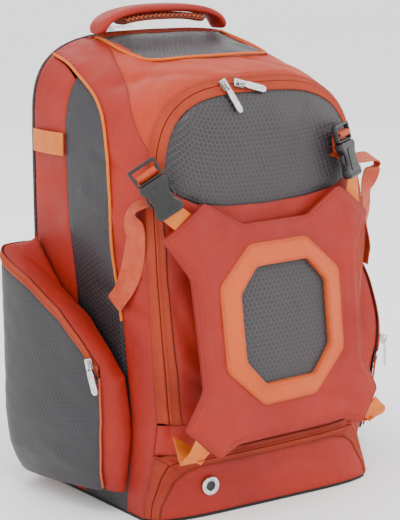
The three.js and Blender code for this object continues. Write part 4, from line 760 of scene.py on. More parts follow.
def object_from(name, points, faces, uv=None, seam=None, materials=(RED,), face_material=None, sharp=50):
    mesh = bpy.data.meshes.new(name)
    mesh.from_pydata((np.asarray(points) * MM).tolist(), [], faces)
    if uv is not None:
        layer = mesh.uv_layers.new(name="metres")
        loops = np.empty(len(mesh.loops), dtype=np.int32)
        mesh.loops.foreach_get("vertex_index", loops)
        layer.data.foreach_set("uv", (np.asarray(uv)[loops] * MM).astype(np.float32).ravel())
    # The seam values are stored as a mask of painted shade along the seams.
    if seam is not None:
        attribute = mesh.attributes.new("seam", "FLOAT", "POINT")
        attribute.data.foreach_set("value", np.asarray(seam, np.float32))
    for m in materials:
        mesh.materials.append(m)
    if face_material is not None:
        mesh.polygons.foreach_set("material_index", np.asarray(face_material, np.int32))
    mesh.update()
    mesh.shade_smooth()
    mesh.set_sharp_from_angle(angle=math.radians(sharp))
    piece = bpy.data.objects.new(name, mesh)
    bpy.context.scene.collection.objects.link(piece)
    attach(piece, "bag")
    return piece


def wall_faces(rows, cols):
    """Quads of a closed wall between two grids of rows by cols points, and the grid cell of each."""
    def at(i, j, k):
        return k * rows * cols + i * cols + j

    faces, cells = [], []
    for i in range(rows - 1):
        for j in range(cols - 1):
            faces.append((at(i, j, 0), at(i + 1, j, 0), at(i + 1, j + 1, 0), at(i, j + 1, 0)))
            faces.append((at(i, j, 1), at(i, j + 1, 1), at(i + 1, j + 1, 1), at(i + 1, j, 1)))
            cells += [(i, j), (i, j)]
    for i in range(rows - 1):
        faces.append((at(i, 0, 0), at(i, 0, 1), at(i + 1, 0, 1), at(i + 1, 0, 0)))
        faces.append((at(i, cols - 1, 0), at(i + 1, cols - 1, 0), at(i + 1, cols - 1, 1), at(i, cols - 1, 1)))
        cells += [(i, 0), (i, cols - 2)]
    for j in range(cols - 1):
        faces.append((at(0, j, 0), at(0, j + 1, 0), at(0, j + 1, 1), at(0, j, 1)))
        faces.append((at(rows - 1, j, 0), at(rows - 1, j, 1), at(rows - 1, j + 1, 1), at(rows - 1, j + 1, 0)))
        cells += [(0, j), (rows - 2, j)]
    return faces, cells


def grid_normals(p, middle):
    du = np.gradient(p, axis=0)
    dv = np.gradient(p, axis=1)
    n = unit(np.cross(du, dv))
    r, c = p.shape[0] // 2, p.shape[1] // 2
    return -n if n[r, c] @ (p[r, c] - middle) < 0 else n


def lengths(p, axis):
    step = np.linalg.norm(np.diff(p, axis=axis), axis=-1)
    total = np.cumsum(step, axis=axis)
    zero = np.zeros_like(np.take(total, [0], axis=axis))
    return np.concatenate([zero, total], axis=axis)


def panel(name, nodes, at, rows, cols, material, wall=CLOTH, gap=0.12, middle=(0, 0, HEIGHT / 2), lift=None,
          ripple=0.6, pucker=0.5, tuck=0.9, creased=True, materials=None, pick=None, columns=None, seed=0):
    """Closed cloth wall over at(a, b). lift adds to the surface, columns gives uneven places across."""
    places = np.linspace(0, 1, cols + 1) if columns is None else columns
    a, b = np.meshgrid(np.linspace(0, 1, rows + 1), places, indexing="ij")
    p = at(a, b)
    middle = np.array(middle, float)
    for axis in (0, 1):
        near, far = np.moveaxis(p, axis, 0)[0], np.moveaxis(p, axis, 0)[-1]
        inner, outer = np.moveaxis(p, axis, 0)[1], np.moveaxis(p, axis, 0)[-2]
        first = near + unit(inner - near) * np.minimum(gap, np.linalg.norm(inner - near, axis=-1) / 3)[..., None]
        last = far + unit(outer - far) * np.minimum(gap, np.linalg.norm(outer - far, axis=-1) / 3)[..., None]
        np.moveaxis(p, axis, 0)[0], np.moveaxis(p, axis, 0)[-1] = first, last
    n = grid_normals(p, middle)
    la, lb = lengths(p, 0), lengths(p, 1)
    edge_a = np.minimum(la, la[-1:] - la)
    edge_b = np.minimum(lb, lb[:, -1:] - lb)
    edge = np.minimum(edge_a, edge_b)
    inside = np.clip(edge / 12, 0, 1)
    push = -tuck * np.exp(-edge / 1.6)
    push += ripple * inside * (0.7 * ripples(p, 70, seed) + 0.3 * ripples(p, 28, seed + 1))
    seam_wave = np.sin(la * 2 * math.pi / 8.5 + 2 * ripples(p, 40, 2)) * np.exp(-edge_b / 6)
    seam_wave += np.sin(lb * 2 * math.pi / 8.5 + 2 * ripples(p, 40, 3)) * np.exp(-edge_a / 6)
    push += pucker * seam_wave * np.clip(edge / 2, 0, 1)
    if creased:
        push += crease_push(p) * np.clip(edge / 6, 0, 1)
    if lift is not None:
        push += lift(a, b, la, lb)
    p = p + n * push[..., None]
    back = p - n * wall
    uv = np.stack([la, lb], -1).reshape(-1, 2)
    # Painted shade mask: 1 at the panel's edge, where the cloth tucks in, fading within a few millimetres.
    seam = np.exp(-edge / 1.6).reshape(-1)
    faces, cells = wall_faces(rows + 1, p.shape[1])
    face_material = [pick(c) for c in cells] if pick else None
    piece = object_from(name, np.concatenate([p.reshape(-1, 3), back.reshape(-1, 3)]), faces,
                        np.concatenate([uv, uv]), np.concatenate([seam, seam]), materials or (material,), face_material)
    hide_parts(*nodes)
    return piece


SIDES = [("left", -1), ("right", 1)]
for side_name, sign in SIDES:
    panel("panel_strip_" + side_name, ["side_strip_" + side_name], on_skin(strip, sign), 110, 20, RED,
          seed=sign)
    panel("panel_wedge_" + side_name, ["side_wedge_" + side_name], on_skin(wedge, sign), 110, 22, SHADED_SIDE_CHARCOAL)
    panel("panel_gusset_" + side_name, ["gusset_" + side_name], on_skin(gusset, sign), 150, 30, RED,
          seed=sign + 1)
panel("panel_hood", ["hood"], on_skin(hood), 170, 60, HOOD_RED, ripple=0.8, seed=2)
panel("panel_top", ["top_panel"], on_skin(top_patch), 60, 36, CHARCOAL, gap=2.0)
panel("panel_top_band", ["top_rear_band"], on_skin(top_band(0.0, TOP_ZIP[0])), 60, 5, PAD,
      gap=1.0, pucker=0)
panel("panel_front_upper", ["front_upper_panel"], on_front(upper_patch), 90, 50, CHARCOAL)
panel("panel_front_lower", ["front_lower_panel"], on_front(lower_patch), 90, 80, RED, ripple=1.0)
panel("panel_lower_band", ["lower_band"], lower_band, 90, 12, RED)

# %% [markdown]
# The zips are of the kind with the coil behind the tape: two tapes meet over a slit coloured dark as painted shade,
# with the coil showing as a low ridge at each side of it.

# %% Zips
ZIP_PROFILE = [
    (0, 0.3), (0.04, 0.7), (0.12, 0.6), (0.24, 0.5), (0.33, 0.9), (0.38, 1.7), (0.43, 1.9), (0.47, 1.6), (0.49, 0.6),
    (0.5, 0.1), (0.51, 0.6), (0.53, 1.6), (0.57, 1.9), (0.62, 1.7), (0.67, 0.9), (0.76, 0.5), (0.88, 0.6), (0.96, 0.7),
    (1, 0.3),
]
PROFILE = np.array(ZIP_PROFILE)
SLIT_SHADE_COLUMNS = (8, 9)


def lines_object(name, lines):
    """Open polylines in one curve object, as rows for the geometry nodes below."""
    data = bpy.data.curves.new(name, "CURVE")
    data.dimensions = "3D"
    for line in lines:
        spline = data.splines.new("POLY")
        spline.points.add(len(line) - 1)
        spline.points.foreach_set("co", np.c_[np.asarray(line) * MM, np.ones(len(line))].astype(np.float32).ravel())
    piece = bpy.data.objects.new(name, data)
    bpy.context.scene.collection.objects.link(piece)
    return piece


def stitch_tree():
    tree = bpy.data.node_groups.new("row_of_stitches", "GeometryNodeTree")
    face = tree.interface
    face.new_socket("Geometry", in_out="INPUT", socket_type="NodeSocketGeometry")
    for label, kind in (("Pitch", "NodeSocketFloat"), ("Length", "NodeSocketFloat"), ("Thickness", "NodeSocketFloat"),
                        ("Material", "NodeSocketMaterial")):
        face.new_socket(label, in_out="INPUT", socket_type=kind)
    face.new_socket("Geometry", in_out="OUTPUT", socket_type="NodeSocketGeometry")
    add, link = tree.nodes.new, tree.links.new
    start, end = add("NodeGroupInput"), add("NodeGroupOutput")
    resample = add("GeometryNodeResampleCurve")
    resample.mode = "LENGTH"
    link(start.outputs["Geometry"], resample.inputs["Curve"])
    link(start.outputs["Pitch"], resample.inputs["Length"])
    ball = add("GeometryNodeMeshUVSphere")
    ball.inputs["Segments"].default_value = 6
    ball.inputs["Rings"].default_value = 4
    ball.inputs["Radius"].default_value = 0.5
    size = add("ShaderNodeCombineXYZ")
    link(start.outputs["Length"], size.inputs[0])
    link(start.outputs["Thickness"], size.inputs[1])
    link(start.outputs["Thickness"], size.inputs[2])
    shape = add("GeometryNodeTransform")
    link(ball.outputs["Mesh"], shape.inputs["Geometry"])
    link(size.outputs[0], shape.inputs["Scale"])
    turn = add("FunctionNodeAlignRotationToVector")
    turn.axis = "X"
    tangent = add("GeometryNodeInputTangent")
    link(tangent.outputs[0], turn.inputs["Vector"])
    place = add("GeometryNodeInstanceOnPoints")
    link(resample.outputs[0], place.inputs["Points"])
    link(shape.outputs[0], place.inputs["Instance"])
    link(turn.outputs[0], place.inputs["Rotation"])
    real = add("GeometryNodeRealizeInstances")
    link(place.outputs[0], real.inputs[0])
    paint = add("GeometryNodeSetMaterial")
    link(real.outputs[0], paint.inputs["Geometry"])
    link(start.outputs["Material"], paint.inputs["Material"])
    smooth = add("GeometryNodeSetShadeSmooth")
    link(paint.outputs[0], smooth.inputs["Geometry"])
    link(smooth.outputs[0], end.inputs[0])
    return tree


STITCH_TREE = stitch_tree()


def stitches(name, lines, material, pitch=3.6, length=2.7, thickness=0.75, body="bag"):
    rows = lines_object(name + "_rows", lines)
    modifier = rows.modifiers.new("stitches", "NODES")
    modifier.node_group = STITCH_TREE
    values = {"Pitch": pitch * MM, "Length": length * MM, "Thickness": thickness * MM, "Material": material}
    for item in STITCH_TREE.interface.items_tree:
        if item.item_type == "SOCKET" and item.in_out == "INPUT" and item.name in values:
            modifier[item.identifier] = values[item.name]
    bpy.context.view_layer.update()
    graph = bpy.context.evaluated_depsgraph_get()
    made = bpy.data.meshes.new_from_object(rows.evaluated_get(graph), depsgraph=graph)
    bpy.data.objects.remove(rows)
    made.name = name
    made.materials.clear()
    made.materials.append(material)
    piece = bpy.data.objects.new(name, made)
    bpy.context.scene.collection.objects.link(piece)
    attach(piece, body)
    return piece


def zip_piece(name, node, edge_a, edge_b, rows, middle=(0, 0, HEIGHT / 2), mend=None, tape=TAPE):
    def at(a, b):
        p = lerp(edge_a(a), edge_b(a), b[..., None])
        return p if mend is None else mend(p, a, b)

    def lift(a, b, la, lb):
        return np.interp(b, PROFILE[:, 0], PROFILE[:, 1])

    # The faces of the slit columns take the slit material, which is painted shade.
    piece = panel(name, [node], at, rows, 0, tape, wall=1.0, gap=0.6, middle=middle, lift=lift, ripple=0.2,
                  pucker=0.15, tuck=0.3, creased=False, materials=(tape, SLIT_SHADE), columns=PROFILE[:, 0],
                  pick=lambda c: 1 if c[1] in SLIT_SHADE_COLUMNS else 0)
    return piece


def shifted_line(edge_a, edge_b, way, out, lift, start=0.01, end=0.99, count=200):
    t = np.linspace(start, end, count)
    p = lerp(edge_a(t), edge_b(t), way)
    return p + np.asarray(out(t)) * lift


zip_way = lambda t: lerp(zip_foot_s, 4 - zip_foot_s, np.asarray(t, float))
front_outer = lambda t: skin(zip_way(t), ZIP_EDGE)


def front_inner(t):
    p = zip_inner(zip_way(t))
    return front_point(p[..., 0], p[..., 1])


def front_out(t):
    p = front_outer(t)
    out = p.copy()
    out[..., 1] = 2 * FRONT_Y
    out[..., 2] = p[..., 2] * 0.1
    return unit(out)


flat_out = lambda t: np.broadcast_to(np.array([0.0, -1.0, 0.0]), np.asarray(t).shape + (3,))
zip_piece("zip_front", "front_zip", front_outer, front_inner, 260)
top_edge = lambda u: (lambda t: on_skin(top_band(u, u))(np.asarray(t, float), np.zeros_like(np.asarray(t, float))))
zip_piece("zip_top", "top_zip", top_edge(TOP_ZIP[0]), top_edge(TOP_ZIP[1]), 80)
door_inner_point = lambda t: front_point(door_inner(t)[..., 0], door_inner(t)[..., 1])
zip_piece("zip_shoe", "shoe_zip", door_outer, door_inner_point, 220, tape=SHOE_TAPE)

# Rows of stitching beside the zips
for label, way, out in (("outer", 0.06, front_out), ("inner", 0.94, flat_out)):
    stitches("front_zip_stitch_" + label, [shifted_line(front_outer, front_inner, way, out, 1.0)], THREAD,
             pitch=3.2, length=2.3, thickness=0.6)
for label, way in (("outer", 0.07), ("inner", 0.93)):
    stitches("shoe_zip_stitch_" + label, [shifted_line(door_outer, door_inner_point, way, flat_out, 1.0)], DARK_THREAD,
             pitch=3.2, length=2.3, thickness=0.6)

EYELET = (-75.0, 33.0)
EYELET_OUTER, EYELET_HOLE = 20.0, 10.0


panel("panel_shoe_door", ["shoe_door"], on_front(door_patch), 110, 26, RED, ripple=1.0)

# %% [markdown]
# The side pockets: a charcoal face that runs round the front corner, a zip along its upper edge and a red
# gusset back to the body.

# %% Side pockets
POCKET_DEPTH = {-1: 54.0, 1: 76.0}
POCKET_SAG = {-1: 0.0, 1: 0.24}
POCKET_LENGTH = {-1: 148.0, 1: 158.0}
POCKET_HEIGHT, POCKET_FLOOR = 258.0, (14.0, 30.0)
SMALL_TAPE = 12.0
PLAN = np.array([
    (0, 0.02), (-0.02, 0.3), (-0.015, 0.6), (0.03, 0.86), (0.12, 0.98), (0.3, 1), (0.55, 0.93),
    (0.78, 0.82), (0.93, 0.72), (1, 0.65),
])
FULLNESS = np.array([(0, 0.45), (0.05, 0.57), (0.12, 0.76), (0.2, 0.91), (0.35, 1), (1, 1)])
POCKET_ZIP = np.array([(0, 1.01), (0.05, 1), (0.41, 0.925), (0.7, 0.82), (0.88, 0.71), (1, 0.61)])
ATTACH = np.array([(0.02, 1.05), (0.335, 0.868), (0.66, 0.78), (0.876, 0.66), (1, 0.57), (1.05, 0.34), (1.05, 0.1)])
PLAN_LINE = smooth_line(np.c_[np.arange(10) / 9, PLAN])


def plan_at(v):
    v = np.clip(np.asarray(v, float), 0, 1)
    order = PLAN_LINE[:, 0]
    return np.interp(v, order, PLAN_LINE[:, 1]), np.interp(v, order, PLAN_LINE[:, 2])


def pocket_z(sign, along, height):
    return height * POCKET_HEIGHT * (1 - POCKET_SAG[sign] * along * along)


def body_side(y, z):
    u = np.clip((BACK_Y - y) / DEPTH, 0, ZIP_EDGE)
    return plain_skin(s_at_height(u, np.clip(z, 1, HEIGHT * 0.7)), u)[..., 0]


def seated(p, sign):
    """Shaped on the left; the right pocket is turned over, and both follow the body's side."""
    flip = np.array([-sign, 1, 1])
    body = np.stack([body_side(p[..., 1], p[..., 2]), p[..., 1], p[..., 2]], -1) * flip
    q = p * flip
    q[..., 0] += sideways(body)
    return q


def pocket_point(sign, v, z):
    v, z = np.broadcast_arrays(np.asarray(v, float), np.asarray(z, float))
    along, out = plan_at(v)
    y = BACK_Y - 2 - along * POCKET_LENGTH[sign]
    full = np.interp(z / POCKET_HEIGHT, FULLNESS[:, 0], FULLNESS[:, 1])
    return np.stack([body_side(y, z) - POCKET_DEPTH[sign] * out * full - 0.4, y, z], -1)


def zip_line_z(sign, v):
    along = plan_at(v)[0]
    return pocket_z(sign, along, np.interp(along, POCKET_ZIP[:, 0], POCKET_ZIP[:, 1]))


def pocket_out(sign, v):
    z = POCKET_HEIGHT * 0.6
    d = pocket_point(sign, np.minimum(v + 0.06, 1), z) - pocket_point(sign, np.maximum(v - 0.06, 0), z)
    return unit(np.stack([d[..., 1], -d[..., 0], d[..., 2] * 0], -1))


def pocket_floor(v):
    return lerp(*POCKET_FLOOR, np.clip(plan_at(v)[0], 0, 1))


FACE_FRONT = 0.55


def pocket_outer(sign, t):
    t = np.asarray(t, float)
    v = np.minimum(t / FACE_FRONT, 1)
    top = zip_line_z(sign, 1.0) + SMALL_TAPE / 2
    down = lerp(top, POCKET_FLOOR[1], np.clip((t - FACE_FRONT) / (1 - FACE_FRONT), 0, 1))
    return pocket_point(sign, v, np.where(t <= FACE_FRONT, zip_line_z(sign, v) + SMALL_TAPE / 2, down))


def pocket_inner(sign, t):
    way = np.linspace(0, 1, len(ATTACH))
    along = np.interp(t, way, ATTACH[:, 0])
    y = BACK_Y - 2 - along * POCKET_LENGTH[sign]
    z = pocket_z(sign, along, np.interp(t, way, ATTACH[:, 1]))
    return np.stack([body_side(y, z) - CLOTH - 2, y, z], -1)


def pocket_gusset(sign, a, b):
    outer = pocket_outer(sign, a) + pocket_out(sign, np.minimum(a / FACE_FRONT, 1)) * -3.0
    p = lerp(outer, pocket_inner(sign, a), b[..., None])
    puff = 5 * np.sin(math.pi * b)
    p[..., 2] += np.where(a <= FACE_FRONT, puff, 0)
    p[..., 1] -= np.where(a > FACE_FRONT, puff, 0)
    return seated(p, sign)


def pocket_face(sign, a, b):
    return seated(pocket_point(sign, a, lerp(pocket_floor(a), zip_line_z(sign, a) - SMALL_TAPE / 2, b)), sign)


def pocket_edge(sign, lift):
    """The line beside the pocket's zip, above or below it by the lift."""
    return lambda t: seated(pocket_point(sign, t, zip_line_z(sign, t) + lift), sign)


for side_name, sign in SIDES:
    middle = (sign * HALF * 0.98, 0, POCKET_HEIGHT / 2)
    panel("pocket_face_cloth_" + side_name, ["pocket_face_" + side_name], lambda a, b: pocket_face(sign, a, b), 90, 70,
          SHADED_SIDE_CHARCOAL, middle=middle, ripple=0.8)
    panel("pocket_gusset_cloth_" + side_name, ["pocket_gusset_" + side_name], lambda a, b: pocket_gusset(sign, a, b), 110,
          14, RED, middle=middle, ripple=0.3)
    zip_piece("pocket_zip_tape_" + side_name, "pocket_zip_" + side_name, pocket_edge(sign, SMALL_TAPE / 2),
              pocket_edge(sign, -SMALL_TAPE / 2), 130, middle=middle)

# %% [markdown]
# Swept pieces: a section carried along a line of points. Piping, webbing, straps and the handle are made so.

# %% Piping and webbing


def sweep_piece(name, nodes, points, outs, section, material, sharp=60, caps=True,
                widths=None):
    """section is a closed loop of (across, out). widths scales it along the way."""
    p, o, sec = np.asarray(points, float), np.asarray(outs, float), np.asarray(section, float)
    along = unit(np.gradient(p, axis=0))
    across = unit(np.cross(along, o))
    out = unit(np.cross(across, along))
    w = np.ones(len(p)) if widths is None else np.asarray(widths, float)
    rings = p[:, None] + across[:, None] * sec[None, :, :1] * w[:, None, None] + out[:, None] * sec[None, :, 1:]
    k = len(sec)
    faces = []
    for i in range(len(p) - 1):
        for j in range(k):
            m = (j + 1) % k
            faces.append((i * k + j, (i + 1) * k + j, (i + 1) * k + m, i * k + m))
    if caps:
        faces.append(tuple(range(k)))
        faces.append(tuple(range(len(p) * k - 1, (len(p) - 1) * k - 1, -1)))
    length = np.concatenate([[0], np.cumsum(np.linalg.norm(np.diff(p, axis=0), axis=1))])
    around = np.concatenate([[0], np.cumsum(np.linalg.norm(np.diff(sec, axis=0), axis=1))])
    uv = np.stack(np.broadcast_arrays(length[:, None], around[None, :]), -1).reshape(-1, 2)
    piece = object_from(name, rings.reshape(-1, 3), faces, uv, np.zeros(len(uv)), (material,), None, sharp)
    if nodes:
        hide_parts(*nodes)
    return piece


def round_section(radius, sides=10):
    t = np.arange(sides) * 2 * math.pi / sides
    return np.stack([np.cos(t), np.sin(t)], -1) * radius


def web_section(width, wall):
    """A flat band with rounded selvedges."""
    h, r = width / 2, wall / 2
    right = [(h - r + r * math.cos(t), r + r * math.sin(t)) for t in np.linspace(-math.pi / 2, math.pi / 2, 7)]
    top = [(x, wall) for x in np.linspace(h - r, -h + r, 8)[1:-1]]
    left = [(-h + r + r * math.cos(t), r + r * math.sin(t)) for t in np.linspace(math.pi / 2, 3 * math.pi / 2, 7)]
    low = [(x, 0) for x in np.linspace(-h + r, h - r, 8)[1:-1]]
    return right + top + left + low


def pillow_section(width, wall, power=2.6, sides=36, flat_low=0.5):
    t = np.arange(sides) * 2 * math.pi / sides
    x = np.sign(np.cos(t)) * np.abs(np.cos(t)) ** (2 / power) * width / 2
    z = np.sign(np.sin(t)) * np.abs(np.sin(t)) ** (2 / power) * wall / 2
    z = np.where(z < 0, z * flat_low * 2, z)
    return np.stack([x, z + wall * flat_low], -1)


def skin_line(curve, start, end, count, lift, sign=-1):
    t = np.linspace(start, end, count)
    spot = curve(t)
    s = spot[..., 0] if sign < 0 else 4 - spot[..., 0]
    n = skin_normal(s, spot[..., 1])
    return skin(s, spot[..., 1]) + n * lift, n


for side_name, sign in SIDES:
    points, outs = skin_line(side_seam, 0.29, 0.985, 160, 1.3, sign)
    points = points + outs * (0.25 * ripples(points, 14))[:, None]
    sweep_piece("piping_cord_" + side_name, ["piping_side_" + side_name], points, outs, round_section(1.7), PIPING)
points, outs = skin_line(whole_border, 0.045, 0.955, 180, 1.6)
sweep_piece("piping_cord_top", ["piping_top"], points, outs, round_section(1.7), PIPING)

# Thin pink-orange piping down the front edge of each pocket
for side_name, sign in SIDES:
    t = np.linspace(0, 1, 90)
    z = lerp(POCKET_FLOOR[1] + 4, float(zip_line_z(sign, 1.0)) - SMALL_TAPE / 2, t)
    edge = seated(pocket_point(sign, np.ones_like(t), z), sign)
    out = pocket_out(sign, np.ones_like(t)) * np.array([-sign, 1, 1])
    edge = edge + out * 0.2 + np.array([0, -0.8, 0])
    sweep_piece("pocket_piping_" + side_name, [], edge, out, round_section(1.2, 8), THREAD)

# %% [markdown]
# The helmet flap is a padded cross with a stitched edge. A raised ring of lighter cloth is sewn on it round a
# charcoal window. It is made as rings of points round one outline whose corners are rounded off.

# %% Helmet flap
FLAP_WIDTH, FLAP_TOP, FLAP_FOOT, FLAP_WALL, FLAP_LEAN, FLAP_Y = 266.0, 331.0, 78.0, 4.0, 0.146, -163.0
FLAP_OUTLINE = [
    (0.316, 0.897), (0.655, 1), (1, 0.868), (0.815, 0.711), (0.8, 0.506), (0.79, 0.273), (0.955, 0.123), (0.707, 0),
    (0.526, 0.04),
]
RING_OUTLINE = [(0.278, 0.818), (0.587, 0.668), (0.58, 0.332), (0.256, 0.17)]
WINDOW_OUTLINE = [(0.253, 0.731), (0.419, 0.632), (0.415, 0.364), (0.24, 0.257)]
FLAP_MIDDLE = 0.48
flap_z = lambda h: lerp(FLAP_FOOT, FLAP_TOP, h)


def flap_y(x, z):
    far = 0.72 * FLAP_WIDTH / 2
    curl = 10 * np.clip((np.abs(x) - far) / (FLAP_WIDTH / 2 - far), 0, 1) ** 1.5
    return FLAP_Y + (z - FLAP_FOOT) * FLAP_LEAN + curl


def whole_outline(half):
    right = [(a * FLAP_WIDTH / 2, float(flap_z(h))) for a, h in half]
    return np.array(right + [(-x, z) for x, z in right[::-1]])


def rounded(outline, radius, count):
    """The closed outline with each corner cut by a curve of about the given radius, evenly resampled."""
    pts = np.asarray(outline, float)
    out = []
    for i in range(len(pts)):
        a, b, c = pts[i - 1], pts[i], pts[(i + 1) % len(pts)]
        cut = min(radius, np.linalg.norm(b - a) * 0.45, np.linalg.norm(c - b) * 0.45)
        p, q = b + unit(a - b) * cut, b + unit(c - b) * cut
        t = np.linspace(0, 1, 9)[:, None]
        out.append((1 - t) ** 2 * p + 2 * t * (1 - t) * b + t ** 2 * q)
    line = np.concatenate(out + [out[0][:1]])
    return along_line(line, np.arange(count) / count)


FLAP_COUNT = 260
flap_line = rounded(whole_outline(FLAP_OUTLINE), 4, FLAP_COUNT)
ring_line = rounded(whole_outline(RING_OUTLINE), 6, FLAP_COUNT)
window_line = rounded(whole_outline(WINDOW_OUTLINE), 4, FLAP_COUNT)
FLAP_CENTRE = np.array([0.0, float(flap_z(FLAP_MIDDLE))])


def ring_grid(outline, shares, lift):
    """Rings of points at shares of the way from the flap's middle to the outline, lifted off its plane."""
    shares = np.asarray(shares, float)[:, None, None]
    xz = FLAP_CENTRE + (outline[None] - FLAP_CENTRE) * shares
    y = flap_y(xz[..., 0], xz[..., 1])
    p = np.stack([xz[..., 0], y, xz[..., 1]], -1)
    p[..., 1] -= lift(p, shares[..., 0])
    return p


def disc_faces(rings, count):
    faces = []
    for i in range(rings - 1):
        for j in range(count):
            k = (j + 1) % count
            faces.append((i * count + j, i * count + k, (i + 1) * count + k, (i + 1) * count + j))
    return faces


def plate_piece(name, node, outline, wall, lift, material, count=22, edge=3.0, start=0.02):
    shares = 1 - (1 - np.linspace(0, 1, count)) ** 1.6
    shares = np.maximum(shares, start)
    front = ring_grid(outline, shares, lift)
    back = ring_grid(outline, shares[::-1], lambda p, s: lift(p, s) * 0 - wall + 0.6)
    p = np.concatenate([front, back])
    faces = disc_faces(len(p), len(outline))
    k = len(outline)
    faces.append(tuple(range(k - 1, -1, -1)))
    faces.append(tuple(range((len(p) - 1) * k, len(p) * k)))
    flat = p.reshape(-1, 3)
    radius = np.linalg.norm(outline - FLAP_CENTRE, axis=1)
    ring_share = np.concatenate([shares, shares[::-1]])
    edge_mm = (1 - ring_share)[:, None] * radius[None]
    # Painted shade mask: strongest at the plate's outline, fading inwards.
    seam = np.exp(-edge_mm / edge).reshape(-1)
    piece = object_from(name, flat, faces, flat[:, [0, 2]], seam, (material,), None, 60)
    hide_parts(node)
    return piece




def near_line(p, line):
    """Distance in the flap's plane from each point to a closed line."""
    xz = p[..., [0, 2]].reshape(-1, 2)
    best = np.full(len(xz), 1e9)
    for q in line[::2]:
        best = np.minimum(best, ((xz - q) ** 2).sum(-1))
    return np.sqrt(best).reshape(p.shape[:-1])


def flap_lift(p, share):
    edge = near_line(p, flap_line)
    ring = near_line(p, ring_line)
    puff = 1.2 * (1 - np.exp(-edge / 9))
    puff += 0.8 * np.exp(-((edge - 9) / 4) ** 2) - 0.9 * np.exp(-((edge - 4.5) / 1.2) ** 2)
    puff -= 0.9 * np.exp(-((ring - 2) / 3) ** 2)
    puff += 0.5 * ripples(p, 55, 4) * np.clip(edge / 15, 0, 1) + 0.25 * ripples(p, 22, 5) * np.clip(edge / 8, 0, 1)
    puff += crease_push(p) * np.clip(edge / 8, 0, 1)
    return puff


flap = plate_piece("flap_cloth", "flap_cover", flap_line, FLAP_WALL, flap_lift, FLAP_RED, 40)
window_lift = lambda p, s: 1.6 + 1.6 * (1 - s ** 3) + 0.4 * ripples(p, 40, 6) * (1 - s)
plate_piece("window_cloth", "flap_window", window_line, 0.2, window_lift, CHARCOAL, 24)

ways = np.array([0, 0.02, 0.05, 0.1, 0.2, 0.35, 0.5, 0.65, 0.8, 0.88, 0.94, 0.98, 1])
ring_rise = np.array([0, 0.16, 0.24, 0.28, 0.36, 0.48, 0.62, 0.78, 0.95, 1, 0.9, 0.6, 0.2])
ring_rows = []
for w, h in zip(ways, ring_rise):
    xz = lerp(ring_line, window_line * 0.985 + FLAP_CENTRE * 0.015, w)
    y = flap_y(xz[:, 0], xz[:, 1]) - 0.6 - 7.0 * h
    ring_rows.append(np.stack([xz[:, 0], y, xz[:, 1]], -1))
ring_points = np.array(ring_rows)
ring_points[2:-2, :, 1] += 0.25 * ripples(ring_points[2:-2], 16, 7)
ring_back = ring_points[::-1].copy()
ring_back[..., 1] = flap_y(ring_back[..., 0], ring_back[..., 2]) - 0.4
ring_all = np.concatenate([ring_points, ring_back])
faces = disc_faces(len(ring_all), FLAP_COUNT)
last = (len(ring_all) - 1) * FLAP_COUNT
faces += [(last + j, last + (j + 1) % FLAP_COUNT, (j + 1) % FLAP_COUNT, j) for j in range(FLAP_COUNT)]
ring_flat = ring_all.reshape(-1, 3)
# Painted shade mask for the ring: strongest at its two sewn edges.
ring_edge_shade = np.exp(-np.minimum(ways, 1 - ways) * 12)
ring_piece = object_from("ring_cloth_band", ring_flat, faces, ring_flat[:, [0, 2]],
                         np.repeat(np.concatenate([ring_edge_shade, ring_edge_shade[::-1]]), FLAP_COUNT), (RING,), None, 70)
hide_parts("flap_ring")

def inset(line, depth):
    """The closed line moved inwards by the depth."""
    way = unit(np.roll(line, -1, 0) - np.roll(line, 1, 0))
    turned = np.stack([way[:, 1], -way[:, 0]], -1)
    inward = -1 if ((line - line.mean(0)) * turned).sum() > 0 else 1
    return line + inward * depth * turned


def flap_row(line, lift):
    loop = np.concatenate([line, line[:1]])
    p = np.stack([loop[:, 0], flap_y(loop[:, 0], loop[:, 1]), loop[:, 1]], -1)
    p[:, 1] -= lift(p)
    return p


flap_rows = [flap_row(inset(flap_line, 5.0), lambda p: flap_lift(p, 0) + 0.25)]
stitches("flap_stitch", flap_rows, THREAD, pitch=3.4, length=2.5, thickness=0.7)
ring_rows = [flap_row(inset(ring_line, 2.2), lambda p: 3.0), flap_row(inset(window_line, -2.4), lambda p: 7.7)]
stitches("ring_stitch", ring_rows, THREAD, pitch=3.2, length=2.3, thickness=0.6)

# %% [markdown]
# The buckles are side-release ones. The outlines are filled plates with rounded edges, made by Blender's own
# curve fill and bevel and kept as meshes. The socket has two curved side windows in which the prongs show.

# %% Buckles and straps
# Foot, head and facing of each buckle
BUCKLES = {
    -1: ((-124.0, -125.0, 323.0), (-143.0, -99.0, 369.0), (-0.5, -0.86, 0.0)),
    1: ((104.0, -130.0, 338.3), (95.9, -121.0, 380.9), (0.4, -0.92, 0.0)),
}
# Rows of each free strap end: share of the depth, share of the height, lift off the cloth
STRAP_TAILS = {
    -1: [(0.93, 0.67, 8), (0.92, 0.61, 4), (0.89, 0.55, 4), (0.83, 0.5, 4), (0.75, 0.46, 5)],
    1: [(0.95, 0.7, 26), (0.93, 0.64, 11), (0.92, 0.58, 7), (0.91, 0.53, 6), (0.9, 0.475, 6)],
}
BUCKLE_WIDTH, BUCKLE_LENGTH, BUCKLE_WALL = 31.0, 58.0, 9.0


